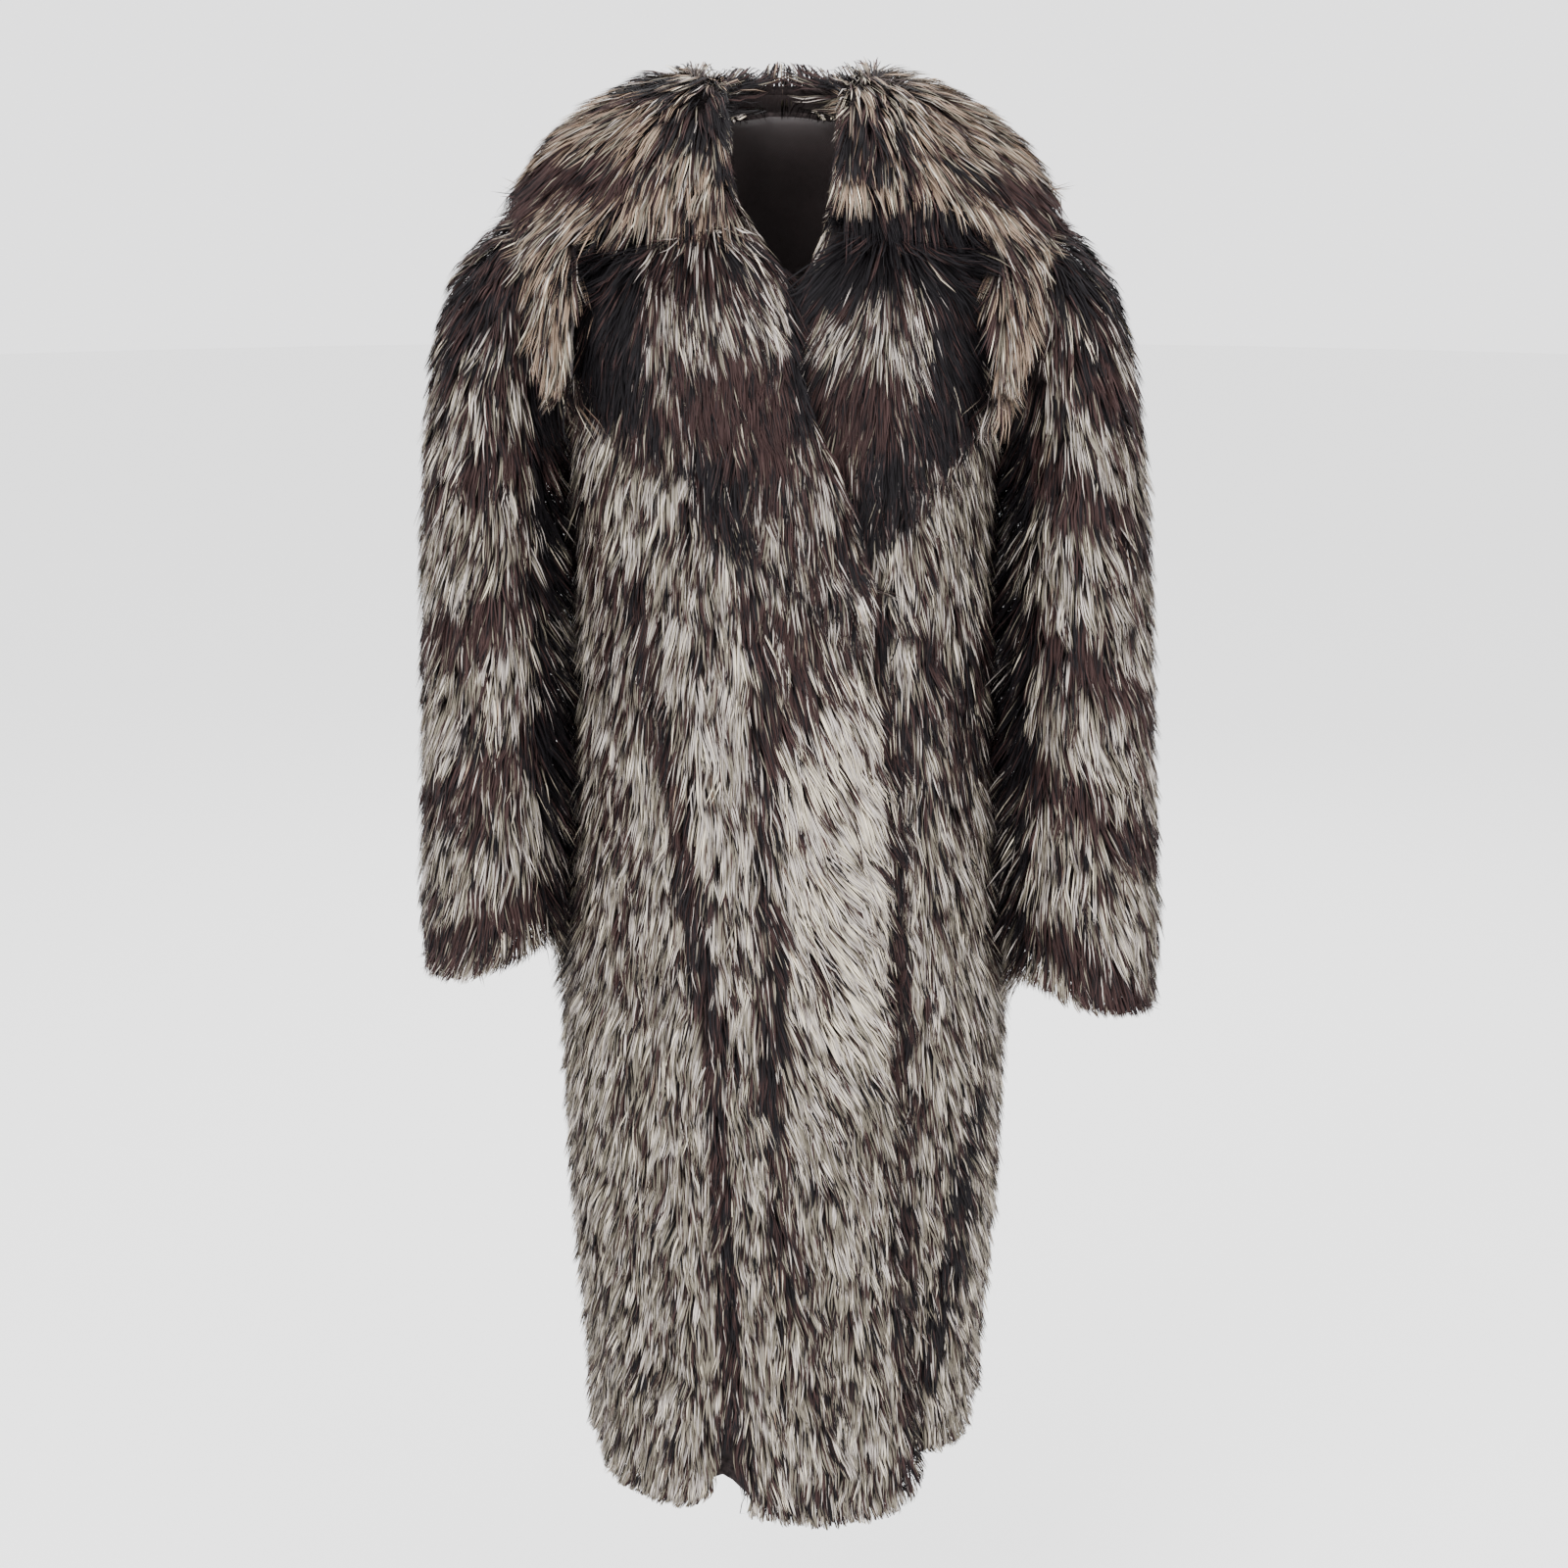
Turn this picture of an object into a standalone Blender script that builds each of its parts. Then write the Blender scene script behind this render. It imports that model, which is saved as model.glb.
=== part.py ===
"""Full-length silver fox coat, filled out as it is worn.

Frame: +Z up, -Y the front, +X the wearer's left. The origin is the middle of the neck's base,
where the coat hangs from the shoulders. The pelts are walls as deep as leather, lining and dense
underfur together; the guard hairs that stand above them are left out. The wearer's right front
lies over the left one, and the collar and lapels lie on the fronts and on the sleeve heads.
"""
import math
from collections import namedtuple

import bmesh
import bpy
import numpy as np
from mathutils import Vector

# Driving dimensions, in metres and degrees.
PELT = 0.018              # depth of a body or sleeve wall
LAPEL = 0.018             # depth of a lapel
COLLAR = 0.021            # depth of the collar beside the neck
GAP = 0.0003              # clearance left at a seam
REST = 0.0055             # clearance under a lapel, over the facets it lies on
OVERLAP_STEP = 0.0125     # how far each front moves out or in where the two cross
OVERLAP_EASE = 0.050      # width over which a front eases into that step
CROSSING_TOP = -0.110     # height at which the step begins
CROSSING_FULL = -0.185    # height at which it is complete
EDGE_CLEAR = 0.004        # the step is complete this far before the other front's edge
NECK_TOP = 0.024          # top of the shoulders, at the neck seam
HEM_BAND_TOP = -0.950     # the lobes of the hem are eased out below this height
NOTCH = 0.052             # depth of the notches between the hem's lobes

Section = namedtuple("Section", "height half_width half_depth centre_y squareness")
BODY = [
    Section(-1.200, 0.176, 0.156, -0.012, 2.30),
    Section(-1.080, 0.180, 0.157, -0.011, 2.30),
    Section(-0.950, 0.191, 0.157, -0.009, 2.30),
    Section(-0.820, 0.195, 0.156, -0.007, 2.30),
    Section(-0.700, 0.191, 0.153, -0.005, 2.32),
    Section(-0.550, 0.181, 0.149, -0.003, 2.36),
    Section(-0.400, 0.177, 0.144, -0.001, 2.45),
    Section(-0.300, 0.178, 0.139, 0.001, 2.55),
    Section(-0.220, 0.182, 0.132, 0.004, 2.65),
    Section(-0.160, 0.189, 0.123, 0.008, 2.70),
    Section(-0.110, 0.195, 0.111, 0.012, 2.70),
    Section(-0.070, 0.197, 0.098, 0.014, 2.65),
    Section(-0.045, 0.191, 0.088, 0.015, 2.60),
    Section(-0.028, 0.176, 0.080, 0.015, 2.50),
    Section(-0.014, 0.155, 0.074, 0.015, 2.40),
    Section(0.000, 0.128, 0.070, 0.014, 2.30),
    Section(0.012, 0.100, 0.067, 0.013, 2.20),
    Section(NECK_TOP, 0.080, 0.065, 0.012, 2.10),
]
COLLAR_SECTIONS = [
    Section(-0.210, 0.264, 0.172, 0.002, 2.35),
    Section(-0.160, 0.258, 0.164, 0.005, 2.30),
    Section(-0.110, 0.248, 0.152, 0.008, 2.25),
    Section(-0.080, 0.236, 0.141, 0.010, 2.20),
    Section(-0.050, 0.223, 0.133, 0.012, 2.25),
    Section(-0.022, 0.206, 0.123, 0.013, 2.25),
    Section(0.006, 0.178, 0.111, 0.014, 2.20),
    Section(0.026, 0.147, 0.098, 0.014, 2.10),
    Section(0.040, 0.118, 0.086, 0.013, 2.05),
    Section(0.047, 0.096, 0.077, 0.012, 2.05),
    Section(0.051, 0.079, 0.068, 0.012, 2.05),
]

# Free edges of the fronts, from neck to hem: how far across each one reaches.
Edge = namedtuple("Edge", "height across")
RIGHT_FRONT_EDGE = [
    Edge(NECK_TOP, -0.055),
    Edge(-0.020, -0.054),
    Edge(-0.050, -0.049),
    Edge(-0.082, -0.030),
    Edge(-0.110, -0.008),
    Edge(-0.150, -0.002),
    Edge(-0.200, 0.007),
    Edge(-0.256, 0.030),
    Edge(-0.324, 0.050),
    Edge(-0.443, 0.065),
    Edge(-0.600, 0.073),
    Edge(-0.827, 0.084),
    Edge(-1.020, 0.098),
    Edge(-1.200, 0.113),
]
LEFT_FRONT_EDGE = [
    Edge(NECK_TOP, 0.055),
    Edge(-0.020, 0.051),
    Edge(-0.050, 0.045),
    Edge(-0.098, 0.033),
    Edge(-0.120, 0.025),
    Edge(-0.150, 0.016),
    Edge(-0.200, 0.000),
    Edge(-0.256, -0.030),
    Edge(-0.324, -0.052),
    Edge(-0.450, -0.058),
    Edge(-1.200, -0.064),
]

# Lapels: how far out from the front edge each one reaches at a height.
RIGHT_LAPEL_EDGE = [
    Edge(-0.098, -0.158),
    Edge(-0.150, -0.160),
    Edge(-0.190, -0.150),
    Edge(-0.225, -0.112),
    Edge(-0.260, -0.060),
    Edge(-0.300, -0.030),
    Edge(-0.340, 0.004),
    Edge(-0.362, 0.034),
]
LEFT_LAPEL_EDGE = [
    Edge(-0.098, 0.158),
    Edge(-0.150, 0.161),
    Edge(-0.200, 0.158),
    Edge(-0.240, 0.138),
    Edge(-0.280, 0.102),
    Edge(-0.318, 0.064),
]
GORGE_INNER = -0.066      # the seam between collar and lapel, at the neck edge
GORGE_SLOPE = -0.230      # and how it falls towards the shoulder
NOTCH_GAP = 0.004         # clearance between collar and lapel along that seam
COVER_GAP = 0.009         # clearance between the left lapel and the right front's edge
COLLAR_FRONT_EDGE = 0.178  # the collar's front tips hang outside the lapels from here
EDGE_TAPER = 0.45         # share of their depth that collar and lapels lose at the outer edge
COLLAR_TAPER_START = 0.45  # share of the way down the collar at which it starts to thin
LAPEL_TAPER_START = 0.60  # share of the way across a lapel at which it starts to thin

# The collar's outer edge, by the angle turned from the middle of the back.
CollarEdge = namedtuple("CollarEdge", "turned height")
COLLAR_EDGE = [
    CollarEdge(0, -0.165),
    CollarEdge(30, -0.158),
    CollarEdge(52, -0.112),
    CollarEdge(70, -0.066),
    CollarEdge(90, -0.050),
    CollarEdge(105, -0.055),
    CollarEdge(118, -0.076),
    CollarEdge(127, -0.120),
    CollarEdge(132, -0.172),
    CollarEdge(136, -0.200),
]
COLLAR_TURN = 168         # how far round the collar reaches beside the neck, each way
END_CROWDING = 4          # power by which the short rows take up their loss near the tips

# The rounded ends of the pelts along the hem. Angles run from the middle of the front
# towards the wearer's left.
Lobe = namedtuple("Lobe", "start end lowest")
LOBES = [
    Lobe(-202, -158, -1.172),
    Lobe(-158, -116, -1.180),
    Lobe(-116, -76, -1.188),
    Lobe(-76, -14, -1.197),
    Lobe(-14, 39, -1.201),
    Lobe(39, 76, -1.162),
    Lobe(76, 116, -1.150),
    Lobe(116, 158, -1.162),
    Lobe(158, 202, -1.172),
]
LOBE_ROUNDNESS = 2.6

# Soft troughs where two pelts meet, each running up from a notch and fading out.
Groove = namedtuple("Groove", "bottom top top_height depth half_width")
GROOVES = [
    Groove(-14, -36, -0.400, 0.010, 0.016),
    Groove(-76, -80, -0.620, 0.006, 0.022),
    Groove(39, 60, -0.760, 0.009, 0.018),
    Groove(76, 80, -0.560, 0.006, 0.022),
    Groove(116, 112, -0.480, 0.007, 0.022),
    Groove(158, 162, -0.420, 0.008, 0.020),
    Groove(-116, -113, -0.520, 0.007, 0.022),
    Groove(-158, -160, -0.380, 0.008, 0.020),
]
GROOVE_RADIUS = 0.172     # arc radius used to measure across a groove
GROOVE_FADE = 0.35        # share of its climb at which a groove starts to fade

# Sleeve rings from the armhole to the cuff: the side next to the body and the outer side.
SleeveRing = namedtuple("SleeveRing", "inner_x inner_z outer_x outer_z half_depth centre_y")
SLEEVE = [
    SleeveRing(0.118, -0.218, 0.118, -0.070, 0.060, 0.006),
    SleeveRing(0.165, -0.232, 0.172, -0.060, 0.070, 0.005),
    SleeveRing(0.188, -0.242, 0.212, -0.066, 0.076, 0.002),
    SleeveRing(0.193, -0.248, 0.247, -0.083, 0.080, -0.003),
    SleeveRing(0.196, -0.258, 0.275, -0.117, 0.083, -0.009),
    SleeveRing(0.198, -0.276, 0.292, -0.168, 0.085, -0.014),
    SleeveRing(0.198, -0.312, 0.302, -0.240, 0.086, -0.020),
    SleeveRing(0.197, -0.380, 0.308, -0.340, 0.084, -0.024),
    SleeveRing(0.196, -0.470, 0.311, -0.450, 0.083, -0.027),
    SleeveRing(0.195, -0.560, 0.314, -0.560, 0.083, -0.030),
    SleeveRing(0.197, -0.640, 0.318, -0.660, 0.084, -0.034),
    SleeveRing(0.204, -0.678, 0.314, -0.716, 0.082, -0.036),
]
SleeveSide = namedtuple("SleeveSide", "side fuller longer")
SLEEVES = {
    "sleeve_right": SleeveSide(side=-1, fuller=0.000, longer=0.000),
    "sleeve_left": SleeveSide(side=1, fuller=0.012, longer=0.034),
}

SLEEVE_FULLER_BELOW = -0.080  # the fuller sleeve gains its extra width below this height

# Rows of the lofts.
UPPER_ROWS = [-0.800, -0.650, -0.500, -0.380, -0.290, -0.220, -0.160, -0.115,
              -0.078, -0.052, -0.034, -0.018, 0.000, NECK_TOP]
HEM_ROWS = [0.0, 0.10, 0.30, 1.0]
EDGE_COLUMN = 0.012       # narrow first column, so that a panel's edge is square to its form
FRONT_COLUMNS = 22
UNDER_FRONT_COLUMNS = 17
BACK_COLUMNS = 26
SLEEVE_COLUMNS = 20
COLLAR_COLUMNS = 32
COLLAR_ROWS = 8
LAPEL_COLUMNS = 8
LAPEL_ROWS = 10
HOLLOW_COLUMNS = 48
HOLLOW_LOWEST = -0.440
HOLLOW_HIGHEST = 0.000

NORMAL_STEP = 0.002       # step in radians and in metres by which a form's normal is found
FUR_ROUGHNESS = 0.75
DARK_FOX = (0.030, 0.024, 0.024, 1.0)
SILVER_FOX = (0.260, 0.245, 0.225, 1.0)
PALE_FOX = (0.330, 0.290, 0.245, 1.0)


def through(rows, key, value):
    """Smooth function through two columns of a table, level beyond its ends."""
    pairs = sorted((getattr(row, key), getattr(row, value)) for row in rows)
    places, values = (np.array(column, dtype=float) for column in zip(*pairs))
    slopes = np.gradient(values, places)

    def at(place):
        place = min(max(place, places[0]), places[-1])
        upper = min(max(int(np.searchsorted(places, place)), 1), len(places) - 1)
        span = places[upper] - places[upper - 1]
        t = (place - places[upper - 1]) / span
        start = (1 + 2 * t) * (1 - t) ** 2 * values[upper - 1]
        end = t * t * (3 - 2 * t) * values[upper]
        bend = t * (1 - t) * ((1 - t) * slopes[upper - 1] - t * slopes[upper]) * span
        return float(start + end + bend)

    return at


def ease(value, low, high):
    """0 up to low, 1 from high, smooth between."""
    t = min(max((value - low) / (high - low), 0.0), 1.0)
    return t * t * (3 - 2 * t)


def signed_power(value, power):
    """Power of a number that keeps its sign."""
    return math.copysign(abs(value) ** power, value)


class Form:
    """Smooth outer form through level sections, measured by angle and height."""

    def __init__(self, sections):
        self.lowest = sections[0].height
        self.highest = sections[-1].height
        self.half_width = through(sections, "height", "half_width")
        self.half_depth = through(sections, "height", "half_depth")
        self.centre_y = through(sections, "height", "centre_y")
        self.squareness = through(sections, "height", "squareness")

    def point(self, angle, height):
        """Point at an angle from the front, positive towards the wearer's left."""
        power = 2 / self.squareness(height)
        x = self.half_width(height) * signed_power(math.sin(angle), power)
        y = self.centre_y(height) - self.half_depth(height) * signed_power(math.cos(angle), power)
        return Vector((x, y, height))

    def normal(self, angle, height):
        """Outward direction, from small steps round and up the form."""
        side = self.point(angle + NORMAL_STEP, height) - self.point(angle - NORMAL_STEP, height)
        high = self.point(angle, min(height + NORMAL_STEP, self.highest))
        low = self.point(angle, max(height - NORMAL_STEP, self.lowest))
        return side.cross(high - low).normalized()

    def lifted(self, angle, height, lift):
        """Point moved out along the form's normal."""
        return self.point(angle, height) + self.normal(angle, height) * lift

    def angle_across(self, across, height):
        """Angle at which the front of the form reaches a place across."""
        share = min(abs(across) / self.half_width(height), 1.0)
        return math.copysign(math.asin(share ** (self.squareness(height) / 2)), across)

    def seam_turn(self, height):
        """Angle that leaves half a gap beside the side and shoulder seams."""
        return (GAP / 2 / self.half_depth(height)) ** (self.squareness(height) / 2)


BODY_FORM = Form(BODY)
COLLAR_FORM = Form(COLLAR_SECTIONS)
RIGHT_EDGE = through(RIGHT_FRONT_EDGE, "height", "across")
LEFT_EDGE = through(LEFT_FRONT_EDGE, "height", "across")


def trough(angle, height):
    """Depth of the pelt grooves at a point of the body."""
    depth = 0.0
    for groove in GROOVES:
        climb = (height - BODY_FORM.lowest) / (groove.top_height - BODY_FORM.lowest)
        if climb < 1.0:
            middle = groove.bottom + (groove.top - groove.bottom) * max(climb, 0.0) ** 2
            turn = (math.degrees(angle) - middle + 180) % 360 - 180
            across = math.radians(turn) * GROOVE_RADIUS / groove.half_width
            depth += groove.depth * (1 - ease(climb, GROOVE_FADE, 1.0)) * math.exp(-across * across)
    return depth


def hem_height(angle):
    """Height of the hem, which follows the rounded ends of the pelts."""
    degrees = (math.degrees(angle) + 180) % 360 - 180
    lobe = next(lobe for lobe in LOBES if lobe.start <= degrees <= lobe.end)
    place = abs(2 * (degrees - lobe.start) / (lobe.end - lobe.start) - 1)
    fullness = (1 - place ** LOBE_ROUNDNESS) ** (1 / LOBE_ROUNDNESS)
    return lobe.lowest + NOTCH * (1 - fullness)


def crossing(height):
    """Share of the overlap's step that is reached at a height."""
    return 1 - ease(height, CROSSING_FULL, CROSSING_TOP)


def right_front_lift(angle, height):
    """The right front eases outwards as it comes to the edge of the left one."""
    across = BODY_FORM.point(angle, height).x
    share = 1 - ease(LEFT_EDGE(height) - EDGE_CLEAR - across, 0.0, OVERLAP_EASE)
    return OVERLAP_STEP * crossing(height) * share - trough(angle, height)


def left_front_lift(angle, height):
    """The left front eases inwards as it passes under the edge of the right one."""
    across = BODY_FORM.point(angle, height).x
    share = 1 - ease(across - RIGHT_EDGE(height) - EDGE_CLEAR, 0.0, OVERLAP_EASE)
    return -OVERLAP_STEP * crossing(height) * share - trough(angle, height)


def grid_object(name, rows):
    """Open surface through rows of points, with its faces looking outwards."""
    mesh = bpy.data.meshes.new(name)
    shape = bmesh.new()
    lines = [[shape.verts.new(point) for point in row] for row in rows]
    for lower, upper in zip(lines, lines[1:]):
        for left in range(len(lower) - 1):
            shape.faces.new((lower[left], lower[left + 1], upper[left + 1], upper[left]))
    shape.to_mesh(mesh)
    shape.free()
    return bpy.data.objects.new(name, mesh)


def tube_object(name, rings, capped):
    """Tube through rings of points, open at its ends or closed."""
    mesh = bpy.data.meshes.new(name)
    shape = bmesh.new()
    loops = [[shape.verts.new(point) for point in ring] for ring in rings]
    for lower, upper in zip(loops, loops[1:]):
        for left in range(len(lower)):
            right = (left + 1) % len(lower)
            shape.faces.new((lower[left], lower[right], upper[right], upper[left]))
    if capped:
        shape.faces.new(loops[0])
        shape.faces.new(loops[-1])
    bmesh.ops.recalc_face_normals(shape, faces=shape.faces)
    shape.to_mesh(mesh)
    shape.free()
    return bpy.data.objects.new(name, mesh)


def thicken(piece, depth, offset, shares=None):
    """Give an open surface its depth, thinner at the points whose share is under 1."""
    wall = piece.modifiers.new("depth of fur and leather", "SOLIDIFY")
    wall.thickness = depth
    wall.offset = offset
    wall.use_even_offset = False
    if shares is not None:
        group = piece.vertex_groups.new(name="depth")
        for index, share in enumerate(shares):
            group.add([index], share, "REPLACE")
        wall.vertex_group = group.name


def subtract(piece, cutter):
    """Cut a piece by a hidden solid."""
    cut = piece.modifiers.new("cut by " + cutter.name, "BOOLEAN")
    cut.operation = "DIFFERENCE"
    cut.solver = "EXACT"
    cut.object = cutter


def finish_piece(piece, colour, home):
    """Smooth shading and a fur material, and a place in the coat's collection."""
    material = bpy.data.materials.new(piece.name + "_fox")
    material.use_nodes = True
    shader = material.node_tree.nodes["Principled BSDF"]
    shader.inputs["Base Color"].default_value = colour
    shader.inputs["Roughness"].default_value = FUR_ROUGHNESS
    shader.inputs["Metallic"].default_value = 0.0
    material.diffuse_color = colour
    piece.data.materials.append(material)
    piece.data.shade_smooth()
    home.objects.link(piece)


def hide_cutter(cutter, home):
    """Keep a cutting solid out of the model."""
    cutter.hide_render = True
    cutter.display_type = "WIRE"
    home.objects.link(cutter)


def panel(name, start_angle, end_angle, columns, lift):
    """Body panel between two edges, each given as an angle at a height."""
    lines = []
    inner_shares = [column / columns for column in range(1, columns)]
    for share in [0.0, EDGE_COLUMN, *inner_shares, 1.0 - EDGE_COLUMN, 1.0]:
        lowest = BODY_FORM.lowest
        hem = hem_height(start_angle(lowest) * (1 - share) + end_angle(lowest) * share)
        heights = [hem + (HEM_BAND_TOP - hem) * step for step in HEM_ROWS] + UPPER_ROWS
        line = []
        for height in heights:
            angle = start_angle(height) * (1 - share) + end_angle(height) * share
            line.append(BODY_FORM.lifted(angle, height, lift(angle, height) - PELT))
        lines.append(line)
    piece = grid_object(name, list(zip(*lines)))
    thicken(piece, PELT, 1)
    return piece


def make_right_front():
    """Front that lies on top, from the wearer's right side seam to its free edge."""
    return panel(
        "front_right",
        lambda height: -math.pi / 2 + BODY_FORM.seam_turn(height),
        lambda height: BODY_FORM.angle_across(RIGHT_EDGE(height), height),
        FRONT_COLUMNS,
        right_front_lift,
    )


def make_left_front():
    """Front that lies underneath, from its hidden edge to the wearer's left side seam."""
    return panel(
        "front_left",
        lambda height: BODY_FORM.angle_across(LEFT_EDGE(height), height),
        lambda height: math.pi / 2 - BODY_FORM.seam_turn(height),
        UNDER_FRONT_COLUMNS,
        left_front_lift,
    )


def make_back():
    """Back, in one piece between the side and shoulder seams."""
    return panel(
        "back",
        lambda height: math.pi / 2 + BODY_FORM.seam_turn(height),
        lambda height: math.pi * 3 / 2 - BODY_FORM.seam_turn(height),
        BACK_COLUMNS,
        lambda angle, height: -trough(angle, height),
    )


def sleeve_rings(build, grow=0.0):
    """Rings of a sleeve, grown outwards where they make a cutter."""
    cuff = SLEEVE[-1].outer_z
    rings = []
    for ring in SLEEVE:
        fall = ease(-ring.outer_z, -SLEEVE_FULLER_BELOW, -cuff)
        lower = build.longer * ring.outer_z / cuff
        inner = Vector((build.side * ring.inner_x, 0, ring.inner_z - lower))
        outer = Vector((build.side * (ring.outer_x + build.fuller * fall), 0, ring.outer_z - lower))
        middle = (inner + outer) / 2 + Vector((0, ring.centre_y, 0))
        reach = (outer - inner) / 2
        reach += reach.normalized() * grow
        ahead = Vector((0, -ring.half_depth - grow, 0))
        turns = [2 * math.pi * column / SLEEVE_COLUMNS for column in range(SLEEVE_COLUMNS)]
        rings.append([middle + reach * math.cos(turn) + ahead * math.sin(turn) for turn in turns])
    return rings


def make_sleeve(name, build):
    """Sleeve tube, from inside the armhole to the cuff."""
    rings = sleeve_rings(build)
    piece = tube_object(name, rings, capped=False)
    thicken(piece, PELT, -1)
    return piece


def body_hollow():
    """Solid of the space inside the body, which trims the sleeves' inner ends."""
    turns = [2 * math.pi * column / HOLLOW_COLUMNS for column in range(HOLLOW_COLUMNS)]
    heights = [height for height in UPPER_ROWS if HOLLOW_LOWEST < height < HOLLOW_HIGHEST]
    rings = [[BODY_FORM.lifted(turn, height, -PELT) for turn in turns] for height in heights]
    return tube_object("body_hollow", rings, capped=True)


def make_collar():
    """Wide collar round the neck, over the shoulders and down to its two front tips."""
    edge_height = through(COLLAR_EDGE, "turned", "height")
    crest = COLLAR_FORM.highest
    rows = []
    shares = []
    for row in range(COLLAR_ROWS, -1, -1):
        fall = row / COLLAR_ROWS
        end_height = crest + (COLLAR_EDGE[-1].height - crest) * fall
        beside_gorge = end_height > GORGE_INNER
        across = abs(RIGHT_EDGE(end_height)) if beside_gorge else COLLAR_FRONT_EDGE
        reach = 180 - math.degrees(COLLAR_FORM.angle_across(across, end_height))
        line = []
        for column in range(COLLAR_COLUMNS + 1):
            way = 2 * column / COLLAR_COLUMNS - 1
            turned = way * (COLLAR_TURN + (reach - COLLAR_TURN) * abs(way) ** END_CROWDING)
            height = crest + (edge_height(abs(turned)) - crest) * fall
            line.append(COLLAR_FORM.point(math.pi + math.radians(turned), height))
            shares.append(1 - EDGE_TAPER * ease(fall, COLLAR_TAPER_START, 1.0))
        rows.append(line)
    piece = grid_object("collar", rows)
    thicken(piece, COLLAR, -1, shares)
    return piece


def make_lapel(name, side, own_edge, outer_edge, lift):
    """Lapel folded back on a front, made from the front's points moved out."""
    reach = through(outer_edge, "height", "across")
    lowest = min(row.height for row in outer_edge)
    top = GORGE_INNER - NOTCH_GAP
    rows = []
    shares = []
    for row in range(LAPEL_ROWS, -1, -1):
        fall = row / LAPEL_ROWS
        level = top + (lowest - top) * fall
        line = []
        for column in range(LAPEL_COLUMNS + 1):
            step = column / LAPEL_COLUMNS
            out = step if side > 0 else 1 - step
            across = own_edge(level) * (1 - out) + reach(level) * out
            slant = GORGE_SLOPE * (abs(across) - abs(own_edge(top)))
            height = level + slant * (1 - fall) ** 2
            angle = BODY_FORM.angle_across(across, height)
            line.append(BODY_FORM.lifted(angle, height, lift(angle, height) + REST))
            shares.append(1 - EDGE_TAPER * ease(out, LAPEL_TAPER_START, 1.0))
        rows.append(line)
    piece = grid_object(name, rows)
    thicken(piece, LAPEL, 1, shares)
    return piece


def left_lapel_inner(height):
    """The left lapel starts at its own fold, or beside the right front where that covers it."""
    return max(LEFT_EDGE(height), RIGHT_EDGE(height) + COVER_GAP)


def make_coat():
    """All the pieces of the coat, in its own collection."""
    coat = bpy.data.collections.new("fur_coat")
    cutters = bpy.data.collections.new("cutters")
    for home in (coat, cutters):
        bpy.context.scene.collection.children.link(home)
    hollow = body_hollow()
    hide_cutter(hollow, cutters)
    panels = [make_right_front(), make_left_front(), make_back()]
    for name, build in SLEEVES.items():
        sleeve = make_sleeve(name, build)
        subtract(sleeve, hollow)
        finish_piece(sleeve, SILVER_FOX, coat)
        armhole = tube_object(name + "_armhole", sleeve_rings(build, GAP), capped=True)
        hide_cutter(armhole, cutters)
        for piece in panels:
            subtract(piece, armhole)
    for piece in panels:
        finish_piece(piece, SILVER_FOX, coat)
    finish_piece(make_collar(), PALE_FOX, coat)
    right_lapel = make_lapel("lapel_right", -1, RIGHT_EDGE, RIGHT_LAPEL_EDGE, right_front_lift)
    left_lapel = make_lapel("lapel_left", 1, left_lapel_inner, LEFT_LAPEL_EDGE, left_front_lift)
    for lapel in (right_lapel, left_lapel):
        finish_piece(lapel, DARK_FOX, coat)


for item in list(bpy.data.objects):
    bpy.data.objects.remove(item, do_unlink=True)
make_coat()
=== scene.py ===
import math
from collections import namedtuple

import bmesh
import bpy
import numpy as np
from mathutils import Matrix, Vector
from mathutils.bvhtree import BVHTree
from mathutils.kdtree import KDTree


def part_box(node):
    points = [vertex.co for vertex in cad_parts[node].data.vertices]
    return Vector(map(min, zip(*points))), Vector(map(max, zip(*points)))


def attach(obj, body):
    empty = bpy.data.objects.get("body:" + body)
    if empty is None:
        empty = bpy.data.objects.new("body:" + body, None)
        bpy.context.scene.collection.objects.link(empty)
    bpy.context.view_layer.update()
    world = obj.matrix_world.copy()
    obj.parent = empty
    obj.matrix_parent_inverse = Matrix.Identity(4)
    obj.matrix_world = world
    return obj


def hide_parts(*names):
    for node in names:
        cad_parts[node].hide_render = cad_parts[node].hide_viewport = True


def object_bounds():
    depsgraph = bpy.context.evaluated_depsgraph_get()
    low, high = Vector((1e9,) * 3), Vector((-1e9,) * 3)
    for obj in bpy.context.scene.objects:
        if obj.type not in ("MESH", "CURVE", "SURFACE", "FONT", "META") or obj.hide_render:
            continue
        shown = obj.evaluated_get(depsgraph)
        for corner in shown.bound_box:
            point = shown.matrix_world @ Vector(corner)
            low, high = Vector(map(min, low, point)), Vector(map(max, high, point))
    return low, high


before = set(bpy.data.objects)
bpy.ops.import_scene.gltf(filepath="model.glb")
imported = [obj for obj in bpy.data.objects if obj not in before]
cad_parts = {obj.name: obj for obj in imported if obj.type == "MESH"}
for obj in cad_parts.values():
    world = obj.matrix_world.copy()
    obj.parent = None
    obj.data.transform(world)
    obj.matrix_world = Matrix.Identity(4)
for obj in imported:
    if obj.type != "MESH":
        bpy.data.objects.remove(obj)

bl_info = {
    "name": "Silver Fox Coat",
    "version": (1, 0, 0),
    "blender": (4, 5, 0),
    "location": "View3D > Sidebar > Fox Coat",
    "description": "Dresses the frame of a full-length coat in pelts, guard hair and lining",
    "category": "Object",
}

FRAME_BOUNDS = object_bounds()
SEED = 1986
SEED_STEP = 101  # between one piece's random draws and the next one's

# ---------------------------------------------------------------------------
# The coat's pieces: how each pelt is cut, and how much hair grows on it.
# ---------------------------------------------------------------------------

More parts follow.
